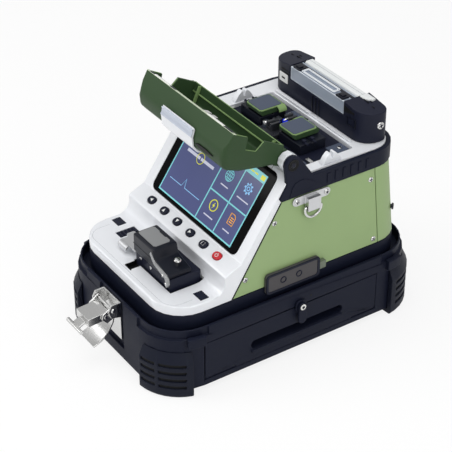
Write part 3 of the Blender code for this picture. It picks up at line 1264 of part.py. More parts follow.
def main():
    for made in list(bpy.data.objects):
        bpy.data.objects.remove(made)
    navy = material("navy_plastic", (0.020, 0.024, 0.036), 0.55)
    rubber = material("black_rubber", (0.018, 0.021, 0.030), 0.7)
    grey_rubber = material("grey_rubber", (0.10, 0.095, 0.095), 0.75)
    silver = material("silver_paint", (0.78, 0.80, 0.84), 0.35, 0.3)
    green = material("green_panel", (0.29, 0.40, 0.18), 0.55)
    cover_green = material("dark_green_plastic", (0.055, 0.097, 0.048), 0.5)
    steel = material("bright_steel", (0.75, 0.75, 0.74), 0.2, 1.0)
    board = material("circuit_board", (0.05, 0.07, 0.06), 0.6)
    cell = material("battery_wrap", (0.05, 0.05, 0.06), 0.6)
    glass = material("display_glass", (0.004, 0.004, 0.005), 0.08)
    red = material("red_key", (0.50, 0.01, 0.02), 0.45)
    dark = material("dark_plastic", (0.025, 0.027, 0.032), 0.5)
    ceramic = material("dark_ceramic", (0.03, 0.03, 0.035), 0.4)
    clear = material("clear_plastic", (0.75, 0.78, 0.82), 0.1, 0.0, 0.35)
    pale = material("pale_plastic", (0.74, 0.76, 0.76), 0.45)

    root = carrier("splicer_root", (0.0, 0.0, 0.0))
    build_tray(root, navy)
    build_bumpers(root, rubber)
    build_drawer(root, navy, steel)
    build_latch(root, steel)
    build_chassis(root, dark, board, cell)
    build_bezel(root, {"silver": silver, "glass": glass, "board": board, "red": red, "dark": dark})
    build_panels(root, green, grey_rubber, board, steel)
    build_top(root, silver, navy, steel)
    build_cover(root, cover_green, silver)
    build_stage(root, dark, ceramic, cover_green, silver, steel)
    build_heater(root, dark, steel, clear, pale)
    build_cleaver(root, dark, steel)
    centre_footprint(root)


main()
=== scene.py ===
"""Looks of a fibre fusion splicer standing in its carrying tray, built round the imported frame.

Sizes are metres in the part's layout frame: X across the machine, -Y towards the operator, Z up, with the
middle of the tray over the origin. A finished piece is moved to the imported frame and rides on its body.
"""

import json
import logging
import math
from dataclasses import dataclass, replace
from enum import Enum
from typing import Callable, Iterable, Sequence

import bmesh
import bpy
from mathutils import Matrix, Vector

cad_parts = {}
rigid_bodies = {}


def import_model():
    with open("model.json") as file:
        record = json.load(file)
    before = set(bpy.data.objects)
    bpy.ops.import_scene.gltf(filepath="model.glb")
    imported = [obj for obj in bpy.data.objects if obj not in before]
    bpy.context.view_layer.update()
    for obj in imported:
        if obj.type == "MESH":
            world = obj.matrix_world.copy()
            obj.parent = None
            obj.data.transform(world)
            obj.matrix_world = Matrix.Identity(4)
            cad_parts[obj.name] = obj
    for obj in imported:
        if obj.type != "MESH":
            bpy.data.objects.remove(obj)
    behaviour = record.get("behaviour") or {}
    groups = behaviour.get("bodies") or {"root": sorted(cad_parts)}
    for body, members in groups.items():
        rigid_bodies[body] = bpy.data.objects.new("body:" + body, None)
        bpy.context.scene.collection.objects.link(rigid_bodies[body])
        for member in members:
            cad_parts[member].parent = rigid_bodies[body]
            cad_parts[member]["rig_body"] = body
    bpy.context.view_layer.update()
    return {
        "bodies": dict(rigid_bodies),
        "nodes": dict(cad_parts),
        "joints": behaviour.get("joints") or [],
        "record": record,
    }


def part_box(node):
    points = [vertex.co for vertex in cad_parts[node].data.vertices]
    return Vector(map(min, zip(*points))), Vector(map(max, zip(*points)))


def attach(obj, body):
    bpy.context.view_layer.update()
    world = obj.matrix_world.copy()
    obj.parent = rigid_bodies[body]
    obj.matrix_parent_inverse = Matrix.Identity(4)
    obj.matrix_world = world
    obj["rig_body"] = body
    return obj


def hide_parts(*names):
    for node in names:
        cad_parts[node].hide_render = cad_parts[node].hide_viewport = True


LOG = logging.getLogger("splicer")
MERGE = 0.00002
PICTURE = 452
BASE = "splicer"
SPIN_STEPS = 28
SHARP_ANGLE = 38.0
ORIGIN = (0.0, 0.0, 0.0)
CLOUD_SCALE = 45.0
DIM_SHARE = 0.86
PALE_SHARE = 1.5
PALE_FLOOR = 0.004

Flat = tuple[float, float]
Point = tuple[float, float, float]
Colour = tuple[float, float, float]


def paint(red: int, green: int, blue: int) -> Colour:
    """A colour written as it looks on a screen, turned into linear light.

    Args:
        red: red from 0 to 255.
        green: green from 0 to 255.
        blue: blue from 0 to 255.

    Returns:
        The colour in linear light.
    """
    shares = [value / 255 for value in (red, green, blue)]
    return tuple(s / 12.92 if s <= 0.04045 else ((s + 0.055) / 1.055) ** 2.4 for s in shares)


def placed(name: str, data: bpy.types.ID) -> bpy.types.Object:
    """Put an object into the scene.

    Args:
        name: its name.
        data: its mesh, camera or light.

    Returns:
        The object.
    """
    made = bpy.data.objects.new(name, data)
    bpy.context.scene.collection.objects.link(made)
    return made


class Term:
    """A shader value that takes part in ordinary arithmetic."""

    def __init__(self, graph: "Graph", socket: bpy.types.NodeSocket) -> None:
        """Wrap one output socket of a graph."""
        self.graph = graph
        self.socket = socket

    def _with(self, operation: str, first: "Term | float", second: "Term | float") -> "Term":
        """One Math node on two values."""
        return self.graph.term("ShaderNodeMath", 0, {"operation": operation}, {0: first, 1: second})

    def __add__(self, other: "Term | float") -> "Term":
        """This value plus another."""
        return self._with("ADD", self, other)

    def __sub__(self, other: "Term | float") -> "Term":
        """This value less another."""
        return self._with("SUBTRACT", self, other)

    def __rsub__(self, other: "Term | float") -> "Term":
        """A number less this value."""
        return self._with("SUBTRACT", other, self)

    def __mul__(self, other: "Term | float") -> "Term":
        """This value times another."""
        return self._with("MULTIPLY", self, other)

    def peak(self, other: "Term | float") -> "Term":
        """The larger of this value and another."""
        return self._with("MAXIMUM", self, other)

    __radd__ = __add__
    __rmul__ = __mul__


class Graph:
    """The node tree of a material or of the world."""

    def __init__(self, owner: bpy.types.Material | bpy.types.World) -> None:
        """Start with an empty tree.

        Args:
            owner: the material or the world.
        """
        self.owner = owner
        owner.use_nodes = True
        self.tree = owner.node_tree
        self.tree.nodes.clear()

    def node(self, kind: str, settings: dict | None = None, inputs: dict | None = None) -> bpy.types.Node:
        """Add a node.

        Args:
            kind: the node's type.
            settings: its own settings, set first.
            inputs: values or terms for its sockets.

        Returns:
            The new node.
        """
        made = self.tree.nodes.new(kind)
        for key, value in (settings or {}).items():
            setattr(made, key, value)
        for key, value in (inputs or {}).items():
            if isinstance(value, Term):
                self.tree.links.new(value.socket, made.inputs[key])
            else:
                made.inputs[key].default_value = value
        return made

    def term(
        self, kind: str, output: int | str, settings: dict | None = None, inputs: dict | None = None
    ) -> Term:
        """Add a node and wrap one of its outputs."""
        return Term(self, self.node(kind, settings, inputs).outputs[output])

    def close(
        self, shader: Term, output: str = "ShaderNodeOutputMaterial"
    ) -> bpy.types.Material | bpy.types.World:
        """Join the last shader to the surface."""
        self.node(output, None, {"Surface": shader})
        return self.owner


class Surface(Enum):
    """How a finish was made, which sets its small-scale pattern."""

    MOULDED = "spark-eroded plastic"
    PAINTED = "sprayed paint"
    BRUSHED = "brushed metal"
    POLISHED = "polished metal or glass"
    RUBBER = "soft rubber"


@dataclass(frozen=True)
class Finish:
    """One finish: its colour, gloss and the pattern of its surface."""

    name: str
    slot: str
    colour: Colour
    roughness: float
    surface: Surface = Surface.MOULDED
    metallic: float = 0.0
    specular: float = 0.5
    coat: float = 0.0
    alpha: float = 1.0
    glow: float = 0.0
    mottle: float = 0.08
    grain: float = 0.0006
    depth: float = 0.00002

    def pattern(self, graph: Graph, place: Term) -> Term:
        """The fine relief of the surface, from 0 to 1.

        Args:
            graph: the node tree.
            place: Object coordinates.

        Returns:
            The relief.
        """
        stretch = (1.0, 1.0, 1.0)
        if self.surface is Surface.BRUSHED:
            stretch = (0.06, 1.0, 1.0)
        spread = graph.term("ShaderNodeMapping", 0, None, {"Vector": place, "Scale": stretch})
        scale = 1.0 / self.grain
        if self.surface in (Surface.MOULDED, Surface.RUBBER):
            cells = graph.term(
                "ShaderNodeTexVoronoi", "Distance", {"feature": "F1"}, {"Vector": spread, "Scale": scale}
            )
            return 1.0 - cells
        return graph.term(
            "ShaderNodeTexNoise", "Fac", None, {"Vector": spread, "Scale": scale, "Detail": 3.0}
        )

    def build(self) -> bpy.types.Material:
        """Make the material.

        Returns:
            The material.
        """
        graph = Graph(bpy.data.materials.new(self.name))
        place = graph.term("ShaderNodeTexCoord", "Object")
        relief = self.pattern(graph, place)
        cloud = graph.term(
            "ShaderNodeTexNoise", "Fac", None, {"Vector": place, "Scale": CLOUD_SCALE, "Detail": 4.0}
        )
        share = (cloud - 0.5) * (2.0 * self.mottle) + (relief - 0.5) * (0.5 * self.mottle)
        dim = tuple(c * DIM_SHARE for c in self.colour)
        pale = tuple(min(1.0, c * PALE_SHARE + PALE_FLOOR) for c in self.colour)
        tone = graph.term(
            "ShaderNodeMix", 2, {"data_type": "RGBA"}, {0: share + 0.25, 6: (*dim, 1.0), 7: (*pale, 1.0)}
        )
        rough = cloud * (0.35 * self.roughness) + 0.82 * self.roughness
        bump = graph.term(
            "ShaderNodeBump", "Normal", None, {"Height": relief, "Distance": self.depth, "Strength": 1.0}
        )
        inputs = {
            "Base Color": tone, "Roughness": rough, "Normal": bump, "Metallic": self.metallic,
            "Specular IOR Level": self.specular, "Coat Weight": self.coat, "Coat Roughness": 0.08,
            "Alpha": self.alpha,
        }
        if self.glow:
            inputs["Emission Color"] = tone
            inputs["Emission Strength"] = self.glow
        return graph.close(graph.term("ShaderNodeBsdfPrincipled", 0, None, inputs))


NAVY = Finish("navy_shell", "navy_plastic", paint(19, 23, 39), 0.48, specular=0.12)
RUBBER = Finish(
    "bumper_rubber", "black_rubber", paint(19, 23, 37), 0.5, Surface.RUBBER, specular=0.15, grain=0.0009
)
SILVER = Finish(
    "silver_spray", "silver_paint", paint(238, 241, 247), 0.3, Surface.PAINTED, metallic=0.12, coat=0.25,
    mottle=0.03, grain=0.0008, depth=0.000006,
)
GREEN = Finish(
    "green_sheet", "green_panel", paint(144, 168, 116), 0.5, Surface.PAINTED, mottle=0.07, grain=0.0007,
    depth=0.000008, specular=0.4,
)
COVER_GREEN = Finish("cover_green", "dark_green_plastic", paint(48, 70, 43), 0.42, specular=0.18)
# A lighter copy of the dark green plastic, laid on edges, ribs and hooks: painted highlight.
GREEN_HIGHLIGHT = Finish("green_highlight", "dark_green_plastic", paint(120, 148, 92), 0.5)
STEEL = Finish(
    "bright_plating", "bright_steel", paint(212, 212, 211), 0.2, Surface.POLISHED, metallic=1.0,
    mottle=0.05,
    grain=0.0015, depth=0.000003,
)
SATIN = Finish(
    "satin_steel", "bright_steel", paint(205, 206, 208), 0.34, Surface.BRUSHED, metallic=1.0, mottle=0.06,
    grain=0.0004, depth=0.000004,
)
GREY_RUBBER = Finish("grey_rubber", "grey_rubber", paint(72, 70, 72), 0.6, Surface.RUBBER, specular=0.3)
# Dark moulded plastic. The same finish also colours the floors of screw recesses and the latch's hex
# socket, which is painted shade.
DARK_AND_SHADE = Finish("black_moulding_and_shade", "dark_plastic", paint(23, 26, 42), 0.42, specular=0.16)
SATIN_BLACK = Finish(
    "satin_black", "dark_plastic", paint(15, 18, 29), 0.3, Surface.PAINTED, specular=0.26, grain=0.0008
)
CERAMIC = Finish("groove_ceramic", "dark_ceramic", paint(38, 40, 46), 0.35)
GLASS = Finish(
    "black_glass", "display_glass", paint(5, 5, 6), 0.08, Surface.POLISHED, specular=0.06, mottle=0.02,
    grain=0.01,
    depth=0.0,
)
RED = Finish("red_key", "red_key", paint(190, 18, 34), 0.42)
CLEAR = Finish(
    "clear_lid", "clear_plastic", paint(188, 199, 216), 0.12, Surface.POLISHED, alpha=0.5, coat=0.3,
    mottle=0.03,
    grain=0.004, depth=0.000002,
)
PALE = Finish("pale_cover", "pale_plastic", paint(222, 226, 226), 0.42, mottle=0.04)
GREY_PLATE = Finish("grey_plate", "bright_steel", paint(150, 151, 152), 0.4, Surface.BRUSHED, metallic=0.5)
SLATE = Finish("slate_pad", "dark_plastic", paint(71, 79, 96), 0.5, specular=0.3, grain=0.0005)
BOARD = Finish("board_green", "circuit_board", paint(48, 66, 58), 0.55)
WRAP = Finish("battery_wrap", "battery_wrap", paint(52, 52, 58), 0.5)
WHITE = Finish("white_strip", "pale_plastic", paint(232, 232, 228), 0.5, mottle=0.03)
# Deep black for real seams, washers and carriers. It also colours the black pieces laid in slots, pits, a
# hole, a pocket and grooves, which are painted shade.
BLACK_AND_SHADE = Finish("deep_black_and_shade", "dark_plastic", paint(10, 11, 14), 0.55, specular=0.2)
# A darker grey copy of the silver paint, laid along a groove and a crease: painted shade.
SHADE_LINE = Finish("groove_shade_line", "silver_paint", paint(150, 153, 160), 0.5, Surface.PAINTED)
# A darker blue-grey copy of the silver paint, for the handle's concave grip: painted shade.
SHADED_HANDLE = Finish(
    "handle_silver_shade", "silver_paint", paint(190, 197, 210), 0.3, Surface.PAINTED, metallic=0.45, coat=0.2,
    mottle=0.03,
    depth=0.000005,
)
# A pale copy of the dark green plastic, laid on the cover's rim: painted highlight.
RIM_HIGHLIGHT = Finish("rim_highlight", "dark_green_plastic", paint(186, 196, 172), 0.4)
TAB = Finish("smoky_tab", "grey_rubber", paint(112, 122, 104), 0.4, Surface.RUBBER, alpha=0.8)
# A near-white copy of the clear plastic, laid along the lid's edges: painted highlight.
LID_HIGHLIGHT = Finish(
    "lid_highlight", "clear_plastic", paint(236, 240, 244), 0.2, Surface.POLISHED, mottle=0.02, grain=0.003,
    depth=0.0
)
SCREEN_SKY = Finish(
    "screen_sky", "display_glass", paint(118, 166, 204), 0.12, Surface.POLISHED, glow=0.6, depth=0.0
)
SCREEN_YELLOW = replace(SCREEN_SKY, name="screen_yellow", colour=paint(192, 192, 30))
SCREEN_ORANGE = replace(SCREEN_SKY, name="screen_orange", colour=paint(208, 146, 8))
SCREEN_WHITE = replace(SCREEN_SKY, name="screen_white", colour=paint(172, 174, 190), glow=0.55)
SCREEN_CYAN = replace(
    SCREEN_SKY, name="screen_cyan", colour=paint(105, 174, 180), mottle=0.02, grain=0.0003
)
SCREEN_BLUE = replace(
    SCREEN_CYAN, name="screen_blue", colour=paint(62, 69, 111), glow=0.45, mottle=0.03
)
BLUE = Finish("blue_lamp", "pale_plastic", paint(24, 44, 214), 0.35, glow=0.35)


class Axis(Enum):
    """The direction in which an outline is drawn out."""

    X = 0
    Y = 1
    Z = 2

    def put(self, a: float, b: float, along: float) -> Point:
        """A point from its place in the outline's plane and its place along the axis."""
        return ((along, a, b), (a, along, b), (a, b, along))[self.value]


def arc(centre: Flat, radius: float, start: float, end: float, steps: int = 10) -> list[Flat]:
    """Points along a circular arc.

    Args:
        centre: middle of the circle.
        radius: its radius.
        start: first angle in degrees.
        end: last angle in degrees.
        steps: how many chords.

    Returns:
        The points.
    """
    turns = [math.radians(start + (end - start) * n / steps) for n in range(steps + 1)]
    return [(centre[0] + radius * math.cos(t), centre[1] + radius * math.sin(t)) for t in turns]


def rounded(low: Flat, high: Flat, radius: float, steps: int = 8) -> list[Flat]:
    """A rectangle with round corners.

    Args:
        low: lowest corner.
        high: highest corner.
        radius: radius of the corners.
        steps: chords in each corner.

    Returns:
        The points.
    """
    (x0, y0), (x1, y1) = low, high
    return (
        arc((x0 + radius, y0 + radius), radius, 180, 270, steps)
        + arc((x1 - radius, y0 + radius), radius, 270, 360, steps)
        + arc((x1 - radius, y1 - radius), radius, 0, 90, steps)
        + arc((x0 + radius, y1 - radius), radius, 90, 180, steps)
    )


class Form:
    """A mesh in the making, in the layout frame, shaped by bmesh operators."""

    def __init__(self) -> None:
        """Start with nothing."""
        self.mesh = bmesh.new()

    @classmethod
    def block(cls, low: Point, high: Point) -> "Form":
        """A box between two corners.

        Args:
            low: lowest corner.
            high: highest corner.

        Returns:
            The form.
        """
        form = cls()
        low_corner, high_corner = Vector(low), Vector(high)
        size = high_corner - low_corner
        place = Matrix.Translation((low_corner + high_corner) / 2) @ Matrix.Diagonal((*size, 1.0))
        bmesh.ops.create_cube(form.mesh, size=1.0, matrix=place)
        return form

    @classmethod
    def bar(cls, start: Point, end: Point, radius: float, sides: int = 24) -> "Form":
        """A round bar between two points.

        Args:
            start: where it starts.
            end: where it ends.
            radius: its radius.
            sides: sides that stand for the round.

        Returns:
            The form.
        """
        form = cls()
        line = Vector(end) - Vector(start)
        turn = line.to_track_quat("Z", "Y").to_matrix().to_4x4()
        place = Matrix.Translation((Vector(start) + Vector(end)) / 2) @ turn
        bmesh.ops.create_cone(
            form.mesh, cap_ends=True, segments=sides, radius1=radius,
            radius2=radius, depth=line.length, matrix=place,
        )
        return form

    @classmethod
    def slab(cls, outline: Sequence[Flat], start: float, end: float, axis: Axis = Axis.Z) -> "Form":
        """An outline in the plane across an axis, drawn out from start to end.

        Args:
            outline: points round the outline.
            start: where it starts.
            end: where it ends.
            axis: the axis.

        Returns:
            The form.
        """
        form = cls()
        face = form.mesh.faces.new([form.mesh.verts.new(axis.put(a, b, start)) for a, b in outline])
        drawn = bmesh.ops.extrude_face_region(form.mesh, geom=[face])
        far = [v for v in drawn["geom"] if isinstance(v, bmesh.types.BMVert)]
        bmesh.ops.translate(form.mesh, verts=far, vec=axis.put(0.0, 0.0, end - start))
        bmesh.ops.recalc_face_normals(form.mesh, faces=form.mesh.faces)
        return form

    @classmethod
    def spun(cls, profile: Sequence[Flat]) -> "Form":
        """A round piece spun from (radius, height) points about the Z axis at the origin.

        Args:
            profile: points of the profile.

        Returns:
            The form.
        """
        form = cls()
        verts = [form.mesh.verts.new((radius, 0.0, height)) for radius, height in profile]
        edges = [form.mesh.edges.new(pair) for pair in zip(verts, verts[1:])]
        bmesh.ops.spin(
            form.mesh, geom=verts + edges, cent=ORIGIN, axis=(0, 0, 1), angle=math.tau, steps=SPIN_STEPS,
            use_merge=True
        )
        bmesh.ops.remove_doubles(form.mesh, verts=form.mesh.verts, dist=MERGE / 10)
        bmesh.ops.recalc_face_normals(form.mesh, faces=form.mesh.faces)
        return form

    @classmethod
    def tube(cls, path: Sequence[Point], radius: float, sides: int = 10, closed: bool = False) -> "Form":
        """A round wire along a path, from circles bridged one to the next.

        Args:
            path: points along the wire.
            radius: its radius.
            sides: sides that stand for the round.
            closed: whether the path meets its start.

        Returns:
            The form.
        """
        form = cls()
        count = len(path)
        rings = []
        for n, here in enumerate(path):
            before = path[n - 1] if n or closed else here
            after = path[(n + 1) % count] if n < count - 1 or closed else here
            turn = (Vector(after) - Vector(before)).to_track_quat("Z", "Y").to_matrix().to_4x4()
            ring = bmesh.ops.create_circle(
                form.mesh, segments=sides, radius=radius, matrix=Matrix.Translation(here) @ turn,
                cap_ends=not closed and n in (0, count - 1),
            )
            verts = ring["verts"]
            rings.append(
                [e for e in {e for v in verts for e in v.link_edges} if set(e.verts) <= set(verts)]
            )
        pairs = list(zip(rings, rings[1:])) + ([(rings[-1], rings[0])] if closed else [])
        for here, there in pairs:
            bmesh.ops.bridge_loops(form.mesh, edges=here + there)
        bmesh.ops.recalc_face_normals(form.mesh, faces=form.mesh.faces)
        return form

    def moved(self, vector: Point) -> "Form":
        """Shift the whole form."""
        bmesh.ops.translate(self.mesh, vec=vector, verts=self.mesh.verts)
        return self

    def aimed(self, foot: Point, along: Point) -> "Form":
        """Take a form made upright at the origin to a foot, with its top pointing along a direction.

        Args:
            foot: where its bottom goes.
            along: the direction of its top.

        Returns:
            The form.
        """
        turn = Vector(along).to_track_quat("Z", "Y").to_matrix().to_4x4()
        bmesh.ops.transform(self.mesh, matrix=Matrix.Translation(foot) @ turn, verts=self.mesh.verts)
        return self

    def swung(self, degrees: float, axis: str, centre: Point) -> "Form":
        """Turn the whole form about an axis through a centre.

        Args:
            degrees: how far.
            axis: the axis.
            centre: a point on the axis.

        Returns:
            The form.
        """
        bmesh.ops.rotate(
            self.mesh, cent=centre, matrix=Matrix.Rotation(math.radians(degrees), 3, axis),
            verts=self.mesh.verts
        )
        return self

    def mirrored(self, side: int) -> "Form":
        """Mirror the form across the machine's middle plane where the side is the left one.

        Args:
            side: 1 for the right side, -1 for the left.

        Returns:
            The form.
        """
        if side < 0:
            bmesh.ops.scale(self.mesh, vec=(-1.0, 1.0, 1.0), verts=self.mesh.verts)
            bmesh.ops.reverse_faces(self.mesh, faces=self.mesh.faces)
        return self

    def adding(self, *others: "Form") -> "Form":
        """Take other forms into this one as loose parts.

        Args:
            others: the other forms.

        Returns:
            The form.
        """
        for other in others:
            carrier = bpy.data.meshes.new("carrier")
            other.mesh.to_mesh(carrier)
            other.mesh.free()
            self.mesh.from_mesh(carrier)
            bpy.data.meshes.remove(carrier)
        return self

    def _helper(self) -> bpy.types.Object:
        """This form as an object that only helps a Boolean.

        Returns:
            The object.
        """
        data = bpy.data.meshes.new("helper")
        self.mesh.to_mesh(data)
        return placed("helper", data)

    def _combined(self, others: Iterable["Form"], operation: str) -> "Form":
        """Apply one Boolean after another and keep the result.

        Args:
            others: the other forms.
            operation: the kind of Boolean.

        Returns:
            The form.
        """
        base = self._helper()
        helpers = [other._helper() for other in others]
        for helper in helpers:
            boolean = base.modifiers.new("boolean", "BOOLEAN")
            boolean.operation = operation
            boolean.object = helper
        view = bpy.context.evaluated_depsgraph_get()
        made = bpy.data.meshes.new_from_object(base.evaluated_get(view))
        self.mesh.clear()
        self.mesh.from_mesh(made)
        bpy.data.meshes.remove(made)
        for helper in (base, *helpers):
            bpy.data.meshes.remove(helper.data)
        bmesh.ops.remove_doubles(self.mesh, verts=self.mesh.verts, dist=MERGE / 10)
        return self

    def cut(self, *others: "Form") -> "Form":
        """Take other forms away from this one."""
        return self._combined(others, "DIFFERENCE")

    def fused(self, *others: "Form") -> "Form":
        """Join other forms onto this one as one skin."""
        return self._combined(others, "UNION")

    def soft(
        self, width: float, segments: int = 2, angle: float = 28.0,
        pick: Callable[[Vector], bool] | None = None
    ) -> "Form":
        """Round the sharp edges.

        Args:
            width: how far the rounding reaches from the edge.
            segments: faces across it.
            angle: edges that turn less, in degrees, stay as they are.
            pick: chooses edges by their middle point.

        Returns:
            The form.
        """
        least = math.radians(angle)
        edges = [
            e for e in self.mesh.edges
            if len(e.link_faces) == 2 and e.calc_face_angle(0.0) > least and e.calc_length() > width * 0.6
        ]
        if pick is not None:
            edges = [e for e in edges if pick((e.verts[0].co + e.verts[1].co) / 2)]
        bmesh.ops.bevel(
            self.mesh, geom=edges, offset=width, offset_type="OFFSET", affect="EDGES", segments=segments,
            profile=0.5, material=-1, clamp_overlap=False,
        )
        return self


@dataclass(frozen=True)
class Tilt:
    """A slope across the machine: shapes are drawn flat at the origin and laid on it."""

    y: float
    z: float
    degrees: float

    def lay(self, form: Form) -> Form:
        """Turn a flat shape onto the slope."""
        return form.swung(self.degrees, "X", ORIGIN).moved((0.0, self.y, self.z))


SCREEN = Tilt(-0.045, 0.091, 55.6)
STRIP = Tilt(-0.057, 0.0855, 24.62)


def loop(x: float, y: float, wide: float, high: float) -> list[Point]:
    """Points round an ellipse that lies flat."""
    turns = [math.tau * n / SPIN_STEPS for n in range(SPIN_STEPS)]
    return [(x + wide * math.cos(t), y + high * math.sin(t), 0.0) for t in turns]


class Drive(Enum):
    """The recess in a screw's head."""

    CROSS = "cross"
    HEX = "hexagon"


@dataclass(frozen=True)
class Screw:
    """A screw head with its recess, made upright at the origin."""

    radius: float
    height: float
    drive: Drive = Drive.CROSS

    def head(self) -> Form:
        """The domed head."""
        r, h = self.radius, self.height
        return Form.spun(
            [(0.0, -h / 2), (r, -h / 2), (r, 0.35 * h), (0.9 * r, 0.7 * h), (0.6 * r, 0.93 * h), (0.0, h)]
        )

    def recess(self) -> Form:
        """Painted shade in the recess: a dark floor just clear of the dome.

        Returns:
            The form.
        """
        r, h = self.radius, self.height
        if self.drive is Drive.HEX:
            return Form.bar((0.0, 0.0, 0.4 * h), (0.0, 0.0, 1.02 * h), 0.55 * r, sides=6)
        reach, half = 0.62 * r, 0.15 * r
        across = Form.block((-half, -reach, 0.4 * h), (half, reach, 1.015 * h))
        return Form.block((-reach, -half, 0.4 * h), (reach, half, 1.02 * h)).adding(across)


class Bench:
    """Where forms become pieces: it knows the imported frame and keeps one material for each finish."""

    def __init__(self, frame: dict) -> None:
        """Read where the frame's layout origin lies.

        Args:
            frame: what was loaded.
        """
        self.nodes = frame["nodes"]
        low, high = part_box("case_tray")
        self.shift = Vector((0.0, (low.y + high.y) / 2, 0.0))
        self.materials: dict[str, bpy.types.Material] = {}

    def material(self, finish: Finish) -> bpy.types.Material:
        """The material of a finish, made once.

        Args:
            finish: the finish.

        Returns:
            The material.
        """
        if finish.name not in self.materials:
            self.materials[finish.name] = finish.build()
        return self.materials[finish.name]

    def body(self, node: str) -> str:
        """The body that a node rides on."""
        return self.nodes[node]["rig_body"]

    def copy(self, node: str) -> Form:
        """A node's shape with its triangles merged into clean faces, in the layout frame.

        Args:
            node: the node's name.

        Returns:
            The form.
        """
        form = Form()
        form.mesh.from_mesh(self.nodes[node].data)
        bmesh.ops.remove_doubles(form.mesh, verts=form.mesh.verts, dist=MERGE)
        bmesh.ops.dissolve_limit(
            form.mesh, angle_limit=math.radians(0.6), verts=form.mesh.verts, edges=form.mesh.edges
        )
        bmesh.ops.connect_verts_concave(form.mesh, faces=form.mesh.faces)
        return form.moved(-self.shift)

    def piece(
        self, name: str, form: Form, finish: Finish, body: str = BASE, replaces: Sequence[str] = ()
    ) -> bpy.types.Object:
        """Finish a form as a piece of the scene.

        Args:
            name: the piece's name.
            form: its shape in the layout frame.
            finish: its finish.
            body: the body that it rides on.
            replaces: the nodes that it stands for.

        Returns:
            The object.
        """
        form.moved(self.shift)
        bmesh.ops.remove_doubles(form.mesh, verts=form.mesh.verts, dist=MERGE / 10)
        bmesh.ops.dissolve_degenerate(form.mesh, edges=form.mesh.edges, dist=MERGE / 10)
        mesh = bpy.data.meshes.new(name)
        form.mesh.to_mesh(mesh)
        form.mesh.free()
        mesh.materials.append(self.material(finish))
        mesh.shade_smooth()
        mesh.set_sharp_from_angle(angle=math.radians(SHARP_ANGLE))
        made = placed(name, mesh)
        weighted = made.modifiers.new("flat_faces", "WEIGHTED_NORMAL")
        weighted.keep_sharp = True
        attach(made, body)
        if replaces:
            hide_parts(*replaces)
        LOG.info("%s: %d faces on %s", name, len(mesh.polygons), body)
        return made

    def skin(self, node: str, finish: Finish, width: float = 0.0003, segments: int = 2) -> bpy.types.Object:
        """Dress a node as it is, with its edges rounded."""
        form = self.copy(node).soft(width, segments)
        return self.piece(f"{node}_skin", form, finish, self.body(node), (node,))

    def screws(
        self, name: str, body: str, screw: Screw, places: Sequence[tuple[Point, Point]],
        finish: Finish = STEEL
    ) -> None:
        """Set screws of one kind.

        Args:
            name: the group's name.
            body: the body that they ride on.
            screw: their shape.
            places: the foot and the outward direction of each.
            finish: their finish.
        """
        heads, recess_shades = Form(), Form()
        for n, (foot, along) in enumerate(places):
            heads.adding(screw.head().aimed(foot, along))
            recess_shades.adding(screw.recess().swung(20.0 + 37.0 * n, "Z", ORIGIN).aimed(foot, along))
        self.piece(name, heads, finish, body)
        # The recesses are dark pieces that stand for the shade inside them: painted shade.
        self.piece(f"{name}_slots", recess_shades, DARK_AND_SHADE, body)

    def tint(self, finish: Finish, *nodes: str) -> None:
        """Give nodes that lie deep inside a finish without a new shape.

        Args:
            finish: the finish.
            nodes: the nodes' names.
        """
        for node in nodes:
            data = self.nodes[node].data
            data.materials.clear()
            data.materials.append(self.material(finish))


